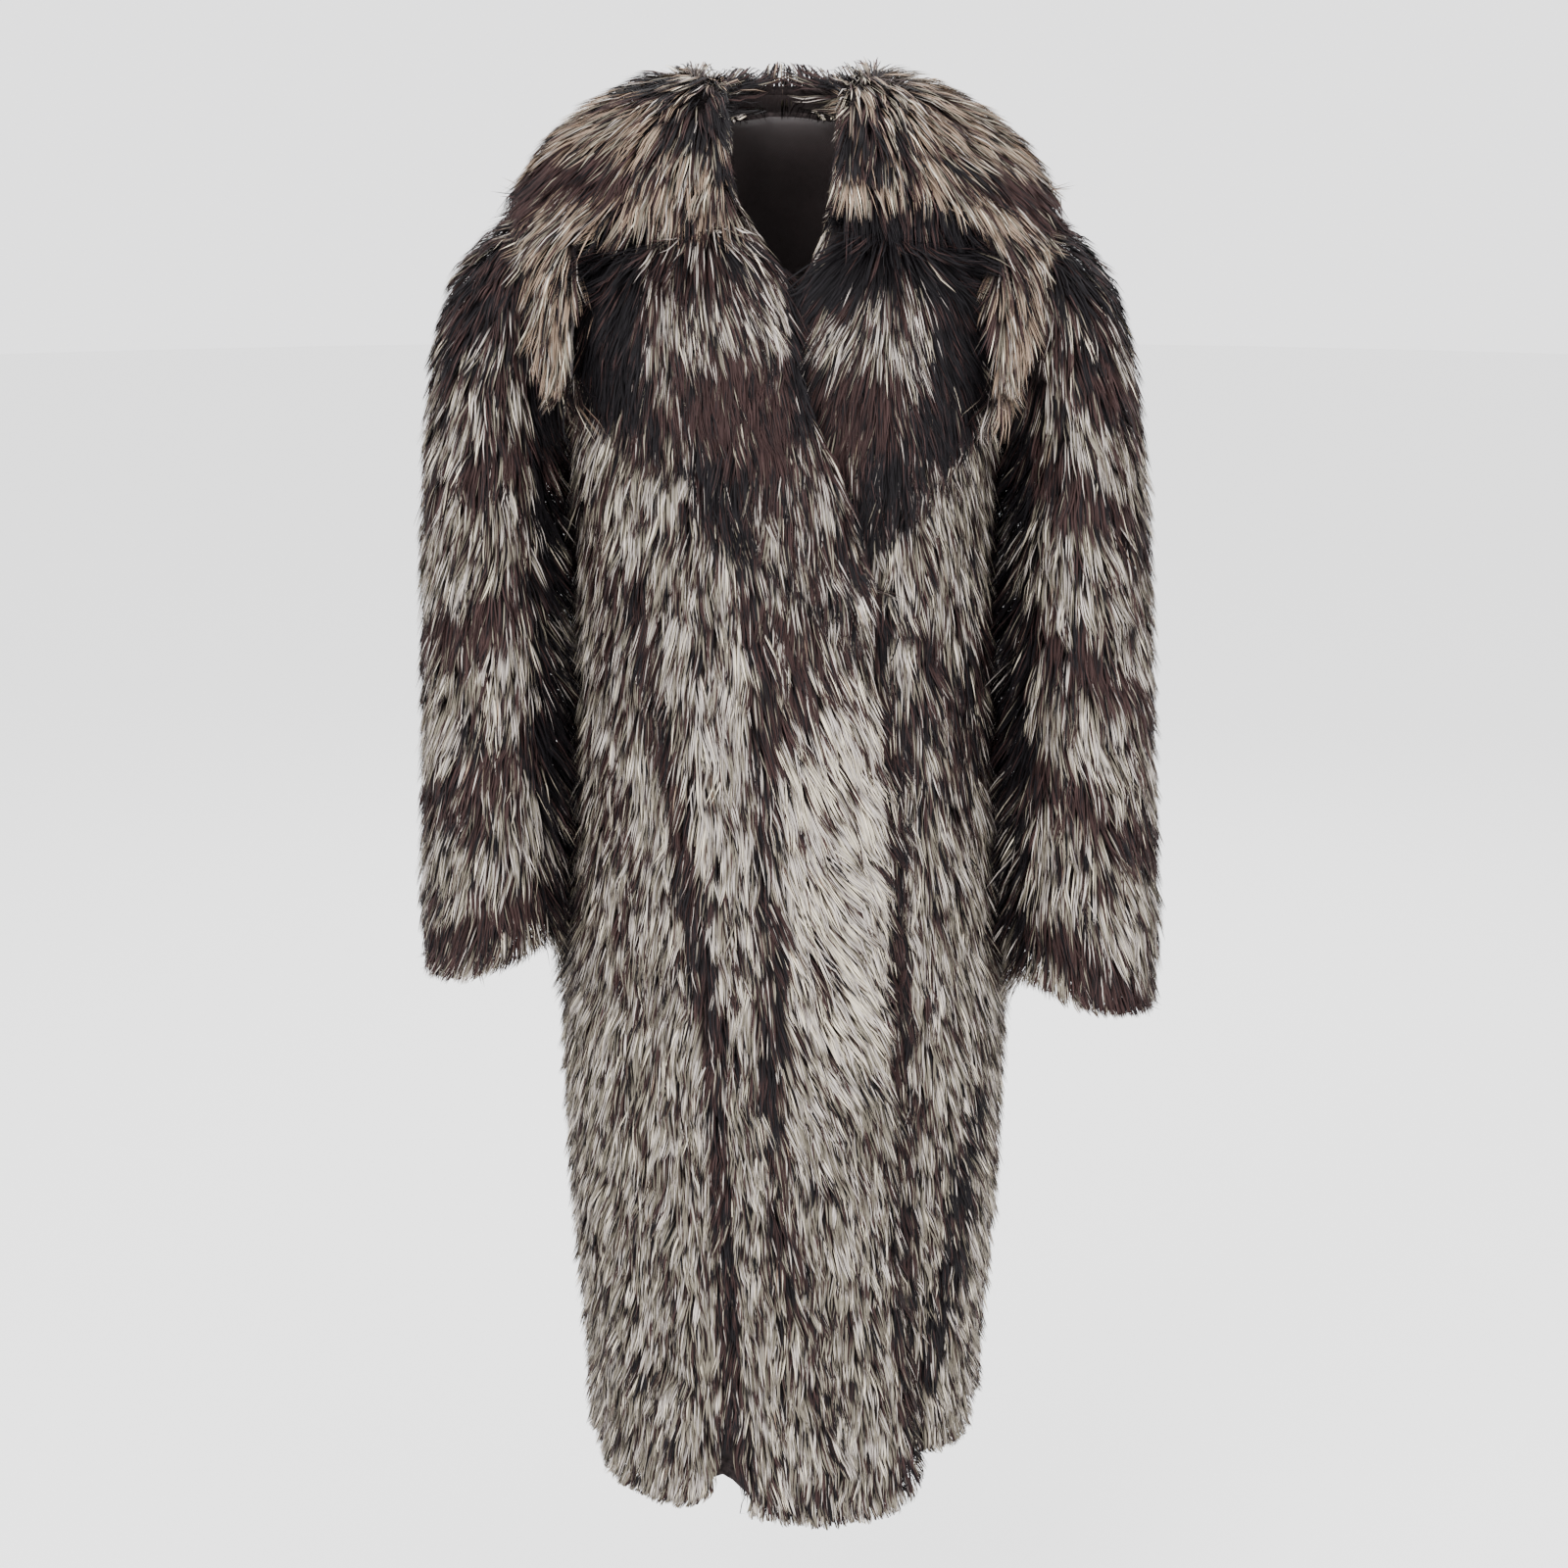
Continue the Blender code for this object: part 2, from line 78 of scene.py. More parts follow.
Piece = namedtuple("Piece", "slot held flat area rests_on hairs longest")
PIECES = {
    "front_right": Piece("silver_fox", "hung", (0.44, 1.23), 0.40, (), 48000, 0.058),
    "front_left": Piece("silver_fox", "hung", (0.38, 1.23), 0.36, (), 27000, 0.058),
    "back": Piece("silver_fox", "hung", (0.60, 1.22), 0.62, (), 46000, 0.060),
    "sleeve_right": Piece("silver_fox", "hung", (0.46, 0.66), 0.27, (), 28000, 0.056),
    "sleeve_left": Piece("silver_fox", "hung", (0.48, 0.69), 0.29, (), 30000, 0.056),
    "collar": Piece("pale_fox", "laid", (0.62, 0.40), 0.19, ("front_right", "front_left", "back"),
                    33000, 0.062),
    "lapel_right": Piece("dark_fox", "folded", (0.24, 0.31), 0.045, ("front_right",), 13000, 0.066),
    "lapel_left": Piece("dark_fox", "folded", (0.18, 0.27), 0.038, ("front_left",), 11000, 0.066),
}
SHOULDER_LEVEL = -0.20  # below it a sleeve hangs straight
CHEST_LEVEL = -0.25  # below it the body is a plain tube
SLEEVE_AXIS = (0.255, -0.02)  # the middle of the left sleeve, across and in depth
SLEEVE_HEAD_AXIS = (0.235, -0.01)

# How far a hair is blocked by a neighbouring piece, and by a piece that lies on top of it.
NEIGHBOUR_REACH = 0.003
COVER_REACH = 0.045
RAY_START = 0.0004  # the ray that looks for such a piece starts this far off the skin
COVERS = {
    "front_right": ("collar", "lapel_right", "lapel_left"),
    "front_left": ("collar", "lapel_left", "lapel_right", "front_right"),
    "back": ("collar",),
    "sleeve_right": ("collar",),
    "sleeve_left": ("collar",),
}

# ---------------------------------------------------------------------------
# The guard hair's tones. Each takes a strip of the hair map, and is dark at the
# root, pale along its band and tipped.
# ---------------------------------------------------------------------------

Tone = namedtuple("Tone", "name start end root tip")
TONES = (
    Tone("black", 0.02, 0.17, (0.006, 0.005, 0.006), (0.010, 0.009, 0.011)),
    Tone("brown", 0.19, 0.35, (0.014, 0.009, 0.009), (0.022, 0.012, 0.012)),
    Tone("khaki", 0.37, 0.51, (0.024, 0.019, 0.016), (0.050, 0.041, 0.034)),
    Tone("silver", 0.53, 0.71, (0.036, 0.028, 0.027), (0.085, 0.070, 0.068)),
    Tone("cream", 0.73, 0.85, (0.045, 0.034, 0.028), (0.30, 0.25, 0.19)),
    Tone("tan", 0.87, 0.98, (0.045, 0.032, 0.026), (0.19, 0.145, 0.115)),
)
STRAY = 0.001  # share of every tone that grows everywhere

# Shares of the six tones in each kind of fur.
MIXES = {
    "black": (0.90, 0.10, 0.00, 0.00, 0.00, 0.00),
    "sable": (0.50, 0.47, 0.03, 0.00, 0.00, 0.00),
    "brown": (0.24, 0.72, 0.04, 0.00, 0.00, 0.00),
    "streaked": (0.17, 0.24, 0.30, 0.24, 0.05, 0.00),
    "violet": (0.36, 0.36, 0.12, 0.15, 0.01, 0.00),
    "silver": (0.12, 0.15, 0.25, 0.37, 0.11, 0.00),
    "bright": (0.04, 0.08, 0.14, 0.42, 0.32, 0.00),
    "khaki": (0.16, 0.17, 0.40, 0.21, 0.06, 0.00),
    "taupe": (0.24, 0.30, 0.18, 0.06, 0.04, 0.18),
    "cream": (0.12, 0.21, 0.18, 0.06, 0.05, 0.38),
    "tan": (0.13, 0.22, 0.16, 0.04, 0.02, 0.43),
}

Patch = namedtuple("Patch", "x z across down mix strength")
Streak = namedtuple("Streak", "points reach mix strength")

# Coloured patches and streaks of each pelt, seen from the front and laid on in this order. A few black ones
# are painted shadow, where marked.
CLOTH = {
    "front": (
        Patch(0.045, -0.60, 0.050, 0.17, "bright", 1.0),
        Patch(-0.052, -0.62, 0.032, 0.22, "silver", 0.7),
        Patch(-0.100, -0.68, 0.026, 0.18, "silver", 0.5),
        Patch(0.020, -0.42, 0.052, 0.07, "brown", 0.50),
        Patch(0.140, -0.50, 0.050, 0.050, "sable", 0.55),
        # painted shadow on the front below the right lapel's tip, as a black patch
        Patch(-0.050, -0.30, 0.024, 0.034, "black", 0.85),
        Streak(((-0.128, -0.36), (-0.100, -0.50), (-0.068, -0.70), (-0.059, -0.79), (-0.051, -0.97),
                (-0.044, -1.13), (-0.044, -1.22)), 0.0095, "sable", 0.90),
        # painted shadow below the right lapel at its top, running on down the front as a dark line
        Streak(((-0.030, -0.30), (-0.018, -0.43), (-0.014, -0.56), (-0.012, -0.74), (-0.008, -0.83),
                (-0.002, -0.92)), 0.013, "sable", 0.66),
        Streak(((-0.002, -0.92), (0.015, -0.99), (0.034, -1.065), (0.048, -1.20)), 0.010, "sable", 0.40),
        Streak(((0.066, -0.36), (0.086, -0.44), (0.093, -0.57), (0.100, -0.72), (0.104, -0.84),
                (0.106, -1.02), (0.112, -1.12), (0.116, -1.20)), 0.011, "sable", 0.72),
        Streak(((0.172, -0.84), (0.156, -0.90), (0.151, -0.98), (0.140, -1.03), (0.129, -1.09)),
               0.012, "black", 0.8),
        Streak(((0.110, -0.40), (0.150, -0.47), (0.185, -0.40)), 0.014, "sable", 0.8),
        Streak(((-0.160, -0.28), (-0.150, -0.42), (-0.140, -0.60)), 0.014, "brown", 0.45),
    ),
    "back": (
        Streak(((0.0, 0.0), (0.0, -0.6), (0.0, -1.22)), 0.014, "black", 0.75),
        *(Streak(((0.12 * side, -0.10), (0.125 * side, -0.6), (0.125 * side, -1.22)), 0.013, "black", 0.65)
          for side in (-1, 1)),
        *(Streak(((0.06 * side, -0.10), (0.062 * side, -0.6), (0.064 * side, -1.22)), 0.009, "brown", 0.6)
          for side in (-1, 1)),
    ),
    "sleeve": (
        Streak(((-0.190, -0.060), (-0.225, -0.095), (-0.250, -0.135)), 0.034, "sable", 0.95),
        Streak(((0.215, -0.070), (0.240, -0.100), (0.265, -0.140)), 0.030, "black", 0.95),
        Patch(-0.262, -0.130, 0.060, 0.090, "sable", 0.65),
        Patch(0.255, -0.205, 0.060, 0.030, "sable", 0.5),
    ),
    "collar": (
        Streak(((-0.110, 0.014), (-0.157, 0.000), (-0.200, -0.022)), 0.022, "tan", 0.9),
        Streak(((0.120, 0.018), (0.163, 0.000), (0.205, -0.024)), 0.024, "tan", 0.9),
        Streak(((-0.062, -0.044), (-0.115, -0.060), (-0.155, -0.078), (-0.188, -0.108),
                (-0.193, -0.140), (-0.184, -0.200)), 0.024, "cream", 1.0),
        Streak(((0.062, -0.036), (0.114, -0.042), (0.156, -0.060), (0.190, -0.094),
                (0.197, -0.135), (0.192, -0.200)), 0.024, "cream", 1.0),
        Streak(((-0.140, -0.036), (-0.185, -0.032), (-0.226, -0.058)), 0.016, "brown", 1.0),
        Streak(((0.168, -0.036), (0.200, -0.048), (0.232, -0.072)), 0.014, "brown", 1.0),
        Patch(-0.068, 0.044, 0.022, 0.012, "cream", 0.8),
        Patch(0.070, 0.030, 0.020, 0.018, "cream", 0.8),
        Patch(-0.060, 0.010, 0.030, 0.022, "black", 0.95),
        Patch(0.064, -0.010, 0.034, 0.018, "black", 0.95),
        Patch(-0.110, 0.034, 0.036, 0.010, "black", 0.7),
        Patch(0.0, 0.046, 0.055, 0.014, "sable", 0.95),
        Streak(((-0.050, -0.022), (-0.040, -0.055)), 0.010, "sable", 0.8),
        Streak(((0.040, -0.068), (0.100, -0.064), (0.150, -0.078)), 0.015, "black", 1.0),
    ),
    "lapel_right": (
        Patch(-0.048, -0.147, 0.052, 0.027, "silver", 0.50),
        Patch(-0.070, -0.104, 0.055, 0.022, "sable", 0.6),
        Patch(-0.122, -0.226, 0.036, 0.036, "sable", 0.9),
        Patch(-0.032, -0.215, 0.066, 0.048, "brown", 1.0),
        Streak(((-0.140, -0.080), (-0.146, -0.200)), 0.030, "black", 1.0),
        # painted shadow below the lapel's lower edge, as a black streak
        Streak(((-0.066, -0.262), (-0.042, -0.290), (-0.036, -0.340)), 0.018, "black", 0.9),
        # painted shadow in the crease between the two lapels, as a black streak
        Streak(((0.008, -0.105), (0.013, -0.150), (0.015, -0.215)), 0.011, "black", 1.0),
    ),
    "lapel_left": (
        Patch(0.072, -0.158, 0.044, 0.027, "silver", 0.52),
        Patch(0.060, -0.224, 0.052, 0.044, "brown", 1.0),
        Streak(((0.036, -0.106), (0.060, -0.092), (0.100, -0.090), (0.145, -0.100)),
               0.030, "black", 1.0),
        Streak(((0.150, -0.105), (0.150, -0.160), (0.132, -0.225)), 0.030, "black", 1.0),
        # painted shadow at the lapel's lower tip, as a black streak
        Streak(((0.088, -0.265), (0.078, -0.315)), 0.024, "black", 0.95),
        # painted shadow in the crease between the two lapels, as a black streak
        Streak(((0.012, -0.115), (0.014, -0.215)), 0.010, "black", 1.0),
    ),
}
GROUND = {
    "front": "streaked", "back": "streaked", "sleeve": "streaked", "collar": "taupe",
    "lapel_right": "violet", "lapel_left": "violet",
}

# The sleeves are worked crosswise: heights of each pelt's dark top edge at the inner side.
SLEEVE_TIERS = {
    "sleeve_right": (-0.094, -0.242, -0.367, -0.497, -0.632),
    "sleeve_left": (-0.152, -0.256, -0.397, -0.517, -0.657),
}
TIER_INNER_EDGE = 0.215
TIER_SLOPES = {"sleeve_right": 0.50, "sleeve_left": 0.72}  # how steeply the tiers drop outwards
TIER_DARK = 0.024  # how deep the dark edge is, and how far it fades below that
TIER_FADE = 0.024
TIER_RAGGED = 0.004  # how far the edge strays up and down

# The neck opening, seen from the front: height, left edge and right edge. A hair may reach into
# its front by a margin, further at the tip than at the upper bend.
NECK_OPENING = (
    (-0.120, 0.006, 0.017),
    (-0.080, -0.022, 0.033),
    (-0.050, -0.042, 0.040),
    (0.080, -0.050, 0.050),
)
OPENING_DEPTH = 0.02  # the opening's front ends this far behind the coat's middle
BEND_MARGIN = 0.001
TIP_MARGIN = 0.005

# The notch in the hem between the two front lobes: its top, half its width there, and how fast it
# widens downwards.
Notch = namedtuple("Notch", "x z half flare")
HEM_NOTCH = Notch(-0.050, -1.142, 0.002, 0.28)


# ---------------------------------------------------------------------------
# What a user may change.
# ---------------------------------------------------------------------------

def number(name, description, default, **more):
    return bpy.props.FloatProperty(name=name, description=description, default=default, **more)


def colour(name, description, default):
    return bpy.props.FloatVectorProperty(
        name=name, description=description, default=default, subtype="COLOR")


class FurSettings(bpy.types.PropertyGroup):
    """Sizes of the guard hair."""
    length: number("Length", "Hair length against each pelt's own", 1.0, min=0.3, max=1.5)
    width: number("Width", "Width of a strand at its widest", 0.00135, unit="LENGTH")
    root_depth: number("Root depth", "Depth of the roots under the fur's surface", 0.013, unit="LENGTH")
    lift: number("Lift", "Height of the tips over the fur's surface", 0.010, unit="LENGTH")
    overhang: number("Overhang", "Furthest that hair passes an edge", 0.015, unit="LENGTH")
    pull: number("Pull", "How closely the tips of a tuft meet", 0.52, min=0.0, max=1.0, subtype="FACTOR")
    waviness: number("Waviness", "How far the hair's lie wanders", math.radians(13), subtype="ANGLE")


class ColourSettings(bpy.types.PropertyGroup):
    """Colours of the hair bands, the underwool and the lining."""
    black: colour("Black", "Band of the darkest hair", (0.008, 0.007, 0.008))
    brown: colour("Brown", "Band of the brown hair", (0.034, 0.019, 0.018))
    khaki: colour("Khaki", "Band of the grey-green hair", (0.165, 0.145, 0.112))
    silver: colour("Silver", "Band of the silver hair", (0.40, 0.357, 0.325))
    cream: colour("Cream", "Band of the cream hair", (0.62, 0.545, 0.425))
    tan: colour("Tan", "Band of the tan hair", (0.225, 0.160, 0.115))
    underwool: colour("Underwool", "Dense wool under the guard hair", (0.016, 0.012, 0.012))
    lining: colour("Lining", "Satin on the inside", (0.030, 0.022, 0.022))


class StageSettings(bpy.types.PropertyGroup):
    """Camera, floor and lights."""
    distance: number("Distance", "Camera in front of the coat", 2.4, unit="LENGTH")
    height: number("Height", "Camera over the neck", 0.05, unit="LENGTH")
    tilt: number("Tilt", "Camera pitched down", math.radians(14.5), subtype="ANGLE")
    lens: number("Lens", "Focal length in millimetres", 63.38)
    floor_drop: number("Floor", "Floor under the neck", 1.50, unit="LENGTH")
    key: number("Key light", "Power of the main softbox", 94.0, unit="POWER")


# ---------------------------------------------------------------------------
# Shaders.
# ---------------------------------------------------------------------------

class Wire:
    """A node's output that takes part in sums, each of which adds one Math node."""

    def __init__(self, finish, socket):
        self.finish = finish
        self.socket = socket

    def maths(self, operation, first, second):
        return self.finish.node("ShaderNodeMath", {"operation": operation}, {0: first, 1: second})

    def __add__(self, other):
        return self.maths("ADD", self, other)

    def __radd__(self, other):
        return self.maths("ADD", other, self)

    def __sub__(self, other):
        return self.maths("SUBTRACT", self, other)

    def __rsub__(self, other):
        return self.maths("SUBTRACT", other, self)

    def __mul__(self, other):
        return self.maths("MULTIPLY", self, other)

    def __rmul__(self, other):
        return self.maths("MULTIPLY", other, self)


class Finish:
    """A material whose nodes are added one by one."""

    def __init__(self, name, constants):
        self.material = bpy.data.materials.new(name)
        self.material.use_nodes = True
        self.tree = self.material.node_tree
        self.shader = self.tree.nodes["Principled BSDF"]
        for socket, value in constants.items():
            self.shader.inputs[socket].default_value = value

    def feed(self, socket, value):
        if isinstance(value, Wire):
            self.tree.links.new(value.socket, socket)
        else:
            socket.default_value = value

    def node(self, kind, settings, sockets, output=0):
        made = self.tree.nodes.new(kind)
        for name, value in settings.items():
            if name == "stops":
                self.set_stops(made.color_ramp, value)
            else:
                setattr(made, name, value)
        for key, value in sockets.items():
            self.feed(made.inputs[key], value)
        return Wire(self, made.outputs[output])

    def set_stops(self, ramp, stops):
        while len(ramp.elements) > 1:
            ramp.elements.remove(ramp.elements[0])
        ramp.elements[0].position = stops[0][0]
        ramp.elements[0].color = (*stops[0][1], 1.0)
        for place, colour in stops[1:]:
            ramp.elements.new(place).color = (*colour, 1.0)

    def ramp(self, factor, stops):
        return self.node("ShaderNodeValToRGB", {"stops": stops}, {"Fac": factor})

    def rise(self, value, low, high):
        settings = {"interpolation_type": "SMOOTHSTEP"}
        sockets = {"Value": value, "From Min": low, "From Max": high}
        return self.node("ShaderNodeMapRange", settings, sockets)

    def mix(self, factor, first, second):
        settings = {"data_type": "RGBA"}
        return self.node("ShaderNodeMix", settings, {0: factor, 6: first, 7: second}, output=2)

    def paint(self, socket, wire):
        self.tree.links.new(wire.socket, self.shader.inputs[socket])


# How much the hairs of one tone differ, from the tone's start to its end on the map.
BAND_DARKEST = 0.72
BAND_PALEST = 1.22
ROOT_PALEST = 1.5
TIP_PALEST = 1.4

# Along a hair, where its root turns into the band and the band into the tip, and how far that strays.
BAND_SETS_IN = (0.30, 0.58)
TIP_SETS_IN = (0.82, 1.02)
BAND_STRAYS = 0.34
STRAY_SCALE = 90.0


def scaled(colour, factor):
    return tuple(min(1.0, channel * factor) for channel in colour)


def hair_finish(colours):
    """Each hair reads its tone across the map and its root, band and tip along it."""
    finish = Finish("guard_hair", {
        "Roughness": 0.58,
        "Specular IOR Level": 0.07,
    })
    place = finish.node("ShaderNodeUVMap", {"uv_map": "Fur"}, {})
    split = finish.node("ShaderNodeSeparateXYZ", {}, {0: place})
    across = Wire(finish, split.socket.node.outputs[0])
    along = Wire(finish, split.socket.node.outputs[1])
    bands, roots, tips = [], [], []
    for tone in TONES:
        colour = tuple(getattr(colours, tone.name))
        bands += [(tone.start, scaled(colour, BAND_DARKEST)), (tone.end, scaled(colour, BAND_PALEST))]
        roots += [(tone.start, tone.root), (tone.end, scaled(tone.root, ROOT_PALEST))]
        tips += [(tone.start, tone.tip), (tone.end, scaled(tone.tip, TIP_PALEST))]
    sockets = {"W": across * STRAY_SCALE, "Detail": 1.0}
    wander = finish.node("ShaderNodeTexNoise", {"noise_dimensions": "1D"}, sockets)
    shifted = along + (wander - 0.5) * BAND_STRAYS
    band = finish.ramp(across, bands)
    root = finish.ramp(across, roots)
    tip = finish.ramp(across, tips)
    lower = finish.mix(finish.rise(shifted, *BAND_SETS_IN), root, band)
    finish.paint("Base Color", finish.mix(finish.rise(shifted, *TIP_SETS_IN), lower, tip))
    return finish.material


def underwool_finish(colours):
    """Dense matt wool: dark, mottled and rough."""
    finish = Finish("underwool", {"Roughness": 0.95, "Specular IOR Level": 0.1})
    place = finish.node("ShaderNodeTexCoord", {}, {}, output=3)
    clots = finish.node("ShaderNodeTexNoise", {}, {"Vector": place, "Scale": 160.0, "Detail": 4.0})
    dark = tuple(colours.underwool)
    shade = finish.ramp(clots, [(0.35, scaled(dark, 0.5)), (0.70, scaled(dark, 1.8))])
    finish.paint("Base Color", shade)
    bump = finish.node("ShaderNodeBump", {}, {"Height": clots, "Strength": 0.8, "Distance": 0.003})
    finish.paint("Normal", bump)
    return finish.material


def lining_finish(colours):
    """Plain satin with a fine twill and soft wear."""
    finish = Finish("lining_satin", {"Roughness": 0.42, "Sheen Weight": 0.25, "Sheen Roughness": 0.3})
    place = finish.node("ShaderNodeTexCoord", {}, {}, output=3)
    settings = {"wave_type": "BANDS", "bands_direction": "DIAGONAL"}
    twill = finish.node("ShaderNodeTexWave", settings, {"Vector": place, "Scale": 420.0, "Distortion": 0.6})
    wear = finish.node("ShaderNodeTexNoise", {}, {"Vector": place, "Scale": 14.0, "Detail": 3.0})
    satin = tuple(colours.lining)
    finish.paint("Base Color", finish.ramp(wear, [(0.30, scaled(satin, 0.8)), (0.75, scaled(satin, 1.35))]))
    finish.paint("Roughness", 0.34 + wear * 0.20)
    bump = finish.node("ShaderNodeBump", {}, {"Height": twill, "Strength": 0.25, "Distance": 0.0004})
    finish.paint("Normal", bump)
    return finish.material


# ---------------------------------------------------------------------------
# Reading the frame: which faces of a piece look out of the coat.
# ---------------------------------------------------------------------------

Skin = namedtuple("Skin", "points normals triangles outside solid")
OUTSIDE, INSIDE, RIM = range(3)
FACING = 0.30  # how squarely a face looks out of the coat to count as outside
RIM_WEIGHT = 0.35  # how much a rim bends the normals beside it, against an outside face
WELD = 1e-5


def cloth_of(name):
    """Both fronts are one cloth, and so are both sleeves."""
    for cloth in ("front", "sleeve"):
        if name.startswith(cloth):
            return cloth
    return name


def side_of(sleeve):
    """1 on the wearer's left and -1 on the right."""
    return 1.0 if sleeve == "sleeve_left" else -1.0


def looks_out(name, centre):
    """Unit direction away from the wearer at a point of a piece."""
    if "sleeve" in name:
        across, depth = SLEEVE_AXIS if centre.z < SHOULDER_LEVEL else SLEEVE_HEAD_AXIS
        axis = (side_of(name) * across, depth, min(centre.z, SHOULDER_LEVEL))
    else:
        axis = (0.0, 0.0, min(centre.z, CHEST_LEVEL))
    return Vector([here - there for here, there in zip(centre, axis)]).normalized()


def welded(name):
    """The node's mesh with its seams welded; a face's material index says which way it looks."""
    mesh = bmesh.new()
    mesh.from_mesh(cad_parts[name].data)
    bmesh.ops.remove_doubles(mesh, verts=mesh.verts, dist=WELD)
    mesh.normal_update()
    for face in mesh.faces:
        facing = face.normal.dot(looks_out(name, face.calc_center_median()))
        if facing > FACING:
            face.material_index = OUTSIDE
        elif facing < -FACING:
            face.material_index = INSIDE
        else:
            face.material_index = RIM
    return mesh


def read_skin(name):
    """A piece's points, its furred triangles with a normal at each point, and its other triangles."""
    mesh = welded(name)
    bmesh.ops.triangulate(mesh, faces=mesh.faces)
    points = np.array([vertex.co[:] for vertex in mesh.verts])
    corners = np.array([[vertex.index for vertex in face.verts] for face in mesh.faces])
    kinds = np.array([face.material_index for face in mesh.faces])
    mesh.free()
    furred = corners[kinds != INSIDE]
    first, second, third = (points[furred[:, corner]] for corner in range(3))
    crossed = np.cross(second - first, third - first)
    normals = np.zeros_like(points)
    weight = np.where(kinds[kinds != INSIDE] == OUTSIDE, 1.0, RIM_WEIGHT)[:, None]
    for corner in range(3):
        np.add.at(normals, furred[:, corner], crossed * weight)
    lengths = np.linalg.norm(normals, axis=1, keepdims=True)
    normals /= np.where(lengths > 0, lengths, 1.0)
    return Skin(points, normals, furred, corners[kinds == OUTSIDE], corners)


def tree_of(parts):
    """One search tree over several (points, triangles), and the count of triangles up to each one's end."""
    points, triangles, ends, shift = [], [], [], 0
    for some_points, some_triangles in parts:
        points.append(some_points)
        triangles.append(some_triangles + shift)
        shift += len(some_points)
        ends.append(sum(len(each) for each in triangles))
    tree = BVHTree.FromPolygons(np.vstack(points).tolist(), np.vstack(triangles).tolist())
    return tree, ends


SKINS = {name: read_skin(name) for name in PIECES}
COAT_TREE = tree_of([(skin.points, skin.outside) for skin in SKINS.values()])[0]


# ---------------------------------------------------------------------------
# Fields over the coat: how the hair lies and what colour it is.
# ---------------------------------------------------------------------------

Band = namedtuple("Band", "centre half")  # full at the centre, gone at half a width from it
Slope = namedtuple("Slope", "start run")  # 0 at the start, 1 at the end of the run
Ripple = namedtuple("Ripple", "length seed")
WAVES = 7  # sine waves to a ripple
RIPPLE_PEAK = 1.6

# How far the fronts' hair leans to the wearer's left, and where across and down it does.
Sweep = namedtuple("Sweep", "lean across down")
EVERYWHERE = Band(0.0, math.inf)
SWEEPS = (
    Sweep(0.14, Band(-0.01, 0.13), EVERYWHERE),
    Sweep(0.62, Band(0.045, 0.075), Band(-0.62, 0.34)),
    Sweep(0.10, Band(0.17, 0.06), Band(-0.75, 0.4)),
)
BACK_SWAY = 0.10
BACK_SWAYS = 26.0  # how fast the back's sway changes across it

SLEEVE_LEAN = 0.10  # outwards
SLEEVE_LEAN_MORE = 0.16  # and this much more near its outer side
SLEEVE_OUTER_SIDE = Band(0.32, 0.10)
SLEEVE_LEAN_FORWARD = 0.06

# A lapel's hair fans out from one place, and hangs straighter beside the crease.
LAPEL_FANS = {"lapel_right": (-0.105, 0.090), "lapel_left": (0.092, -0.040)}
LAPEL_LEAST_FALL = 0.02
LAPEL_CREASE = Band(0.010, 0.045)
CREASE_HANG = 0.85

# The collar's hair fans out from a line round the neck: how far across, from where to where in
# depth, and how high. On the front tips it hangs, and leans inwards beside the lapels.
COLLAR_FAN_REACH = 0.085
COLLAR_FAN_DEPTHS = (-0.2, -0.02)
COLLAR_FAN_TOP = 0.090
COLLAR_HANGS = Slope(-0.055, -0.05)
BESIDE_LAPEL = Slope(0.225, -0.045)
LEAN_TO_LAPEL = 0.07

# A patch or streak is full up to its reach times the first number and fades over the second.
MARK_FULL = 0.75
MARK_FADE = 0.5
MARK_RAGGED = 0.22
MARK_RIPPLE = Ripple(0.03, SEED + 5)
TIER_RIPPLE = Ripple(0.05, SEED + 9)

# Painted shade: black hair on the flanks, where sleeve and body face each other and the shade between them
# falls.
FLANK_SHADE_BAND = Band(0.198, 0.024)
FLANK_SHADE_TOP = Slope(-0.16, -0.04)
FLANK_SHADE_FOOT = Slope(-0.74, 0.08)
FLANK_SHADE_FILL = 1.6  # widens the part of the flank that is fully dark
FLANK_SHADE_SHARE = 0.80

# What else is laid on: the mix, how strong it is, and where.
LOW_BODY = Slope(-0.45, -0.4)
LOW_BODY_KHAKI = 0.9
TIER_BROWN = 0.95
SLEEVE_KHAKI = 0.45
SLEEVE_RIPPLE = Ripple(0.10, SEED + 3)
CLOUD_BROWN = 0.30
CLOUD_RIPPLE = Ripple(0.06, SEED + 4)


def unit(vectors):
    lengths = np.linalg.norm(vectors, axis=-1, keepdims=True)
    return vectors / np.where(lengths > 1e-9, lengths, 1.0)


def swell(values, band):
    """1 at the band's centre, falling smoothly to 0 at half a width from it."""
    way = np.clip(np.abs(values - band.centre) / band.half, 0.0, 1.0)
    return 1.0 - way * way * (3.0 - 2.0 * way)


def climb(values, slope):
    """0 up to the slope's start, and 1 past its run."""
    return np.clip((values - slope.start) / slope.run, 0.0, 1.0)


def ripple(points, shape):
    """Smooth noise from -1 to 1: a sum of sine waves in several directions."""
    draw = np.random.default_rng(shape.seed)
    total = np.zeros(len(points))
    for _ in range(WAVES):
        heading = unit(draw.normal(size=3))
        size = shape.length * draw.uniform(0.7, 1.6)
        total += np.sin(points @ heading * (2.0 * math.pi / size) + draw.uniform(0.0, 2.0 * math.pi))
    return np.clip(total / math.sqrt(WAVES), -RIPPLE_PEAK, RIPPLE_PEAK) / RIPPLE_PEAK


def falling(leans, forward=0.0):
    """Directions that fall and lean across, and forward where asked."""
    return np.column_stack([leans, np.full(len(leans), -forward), -np.ones(len(leans))])


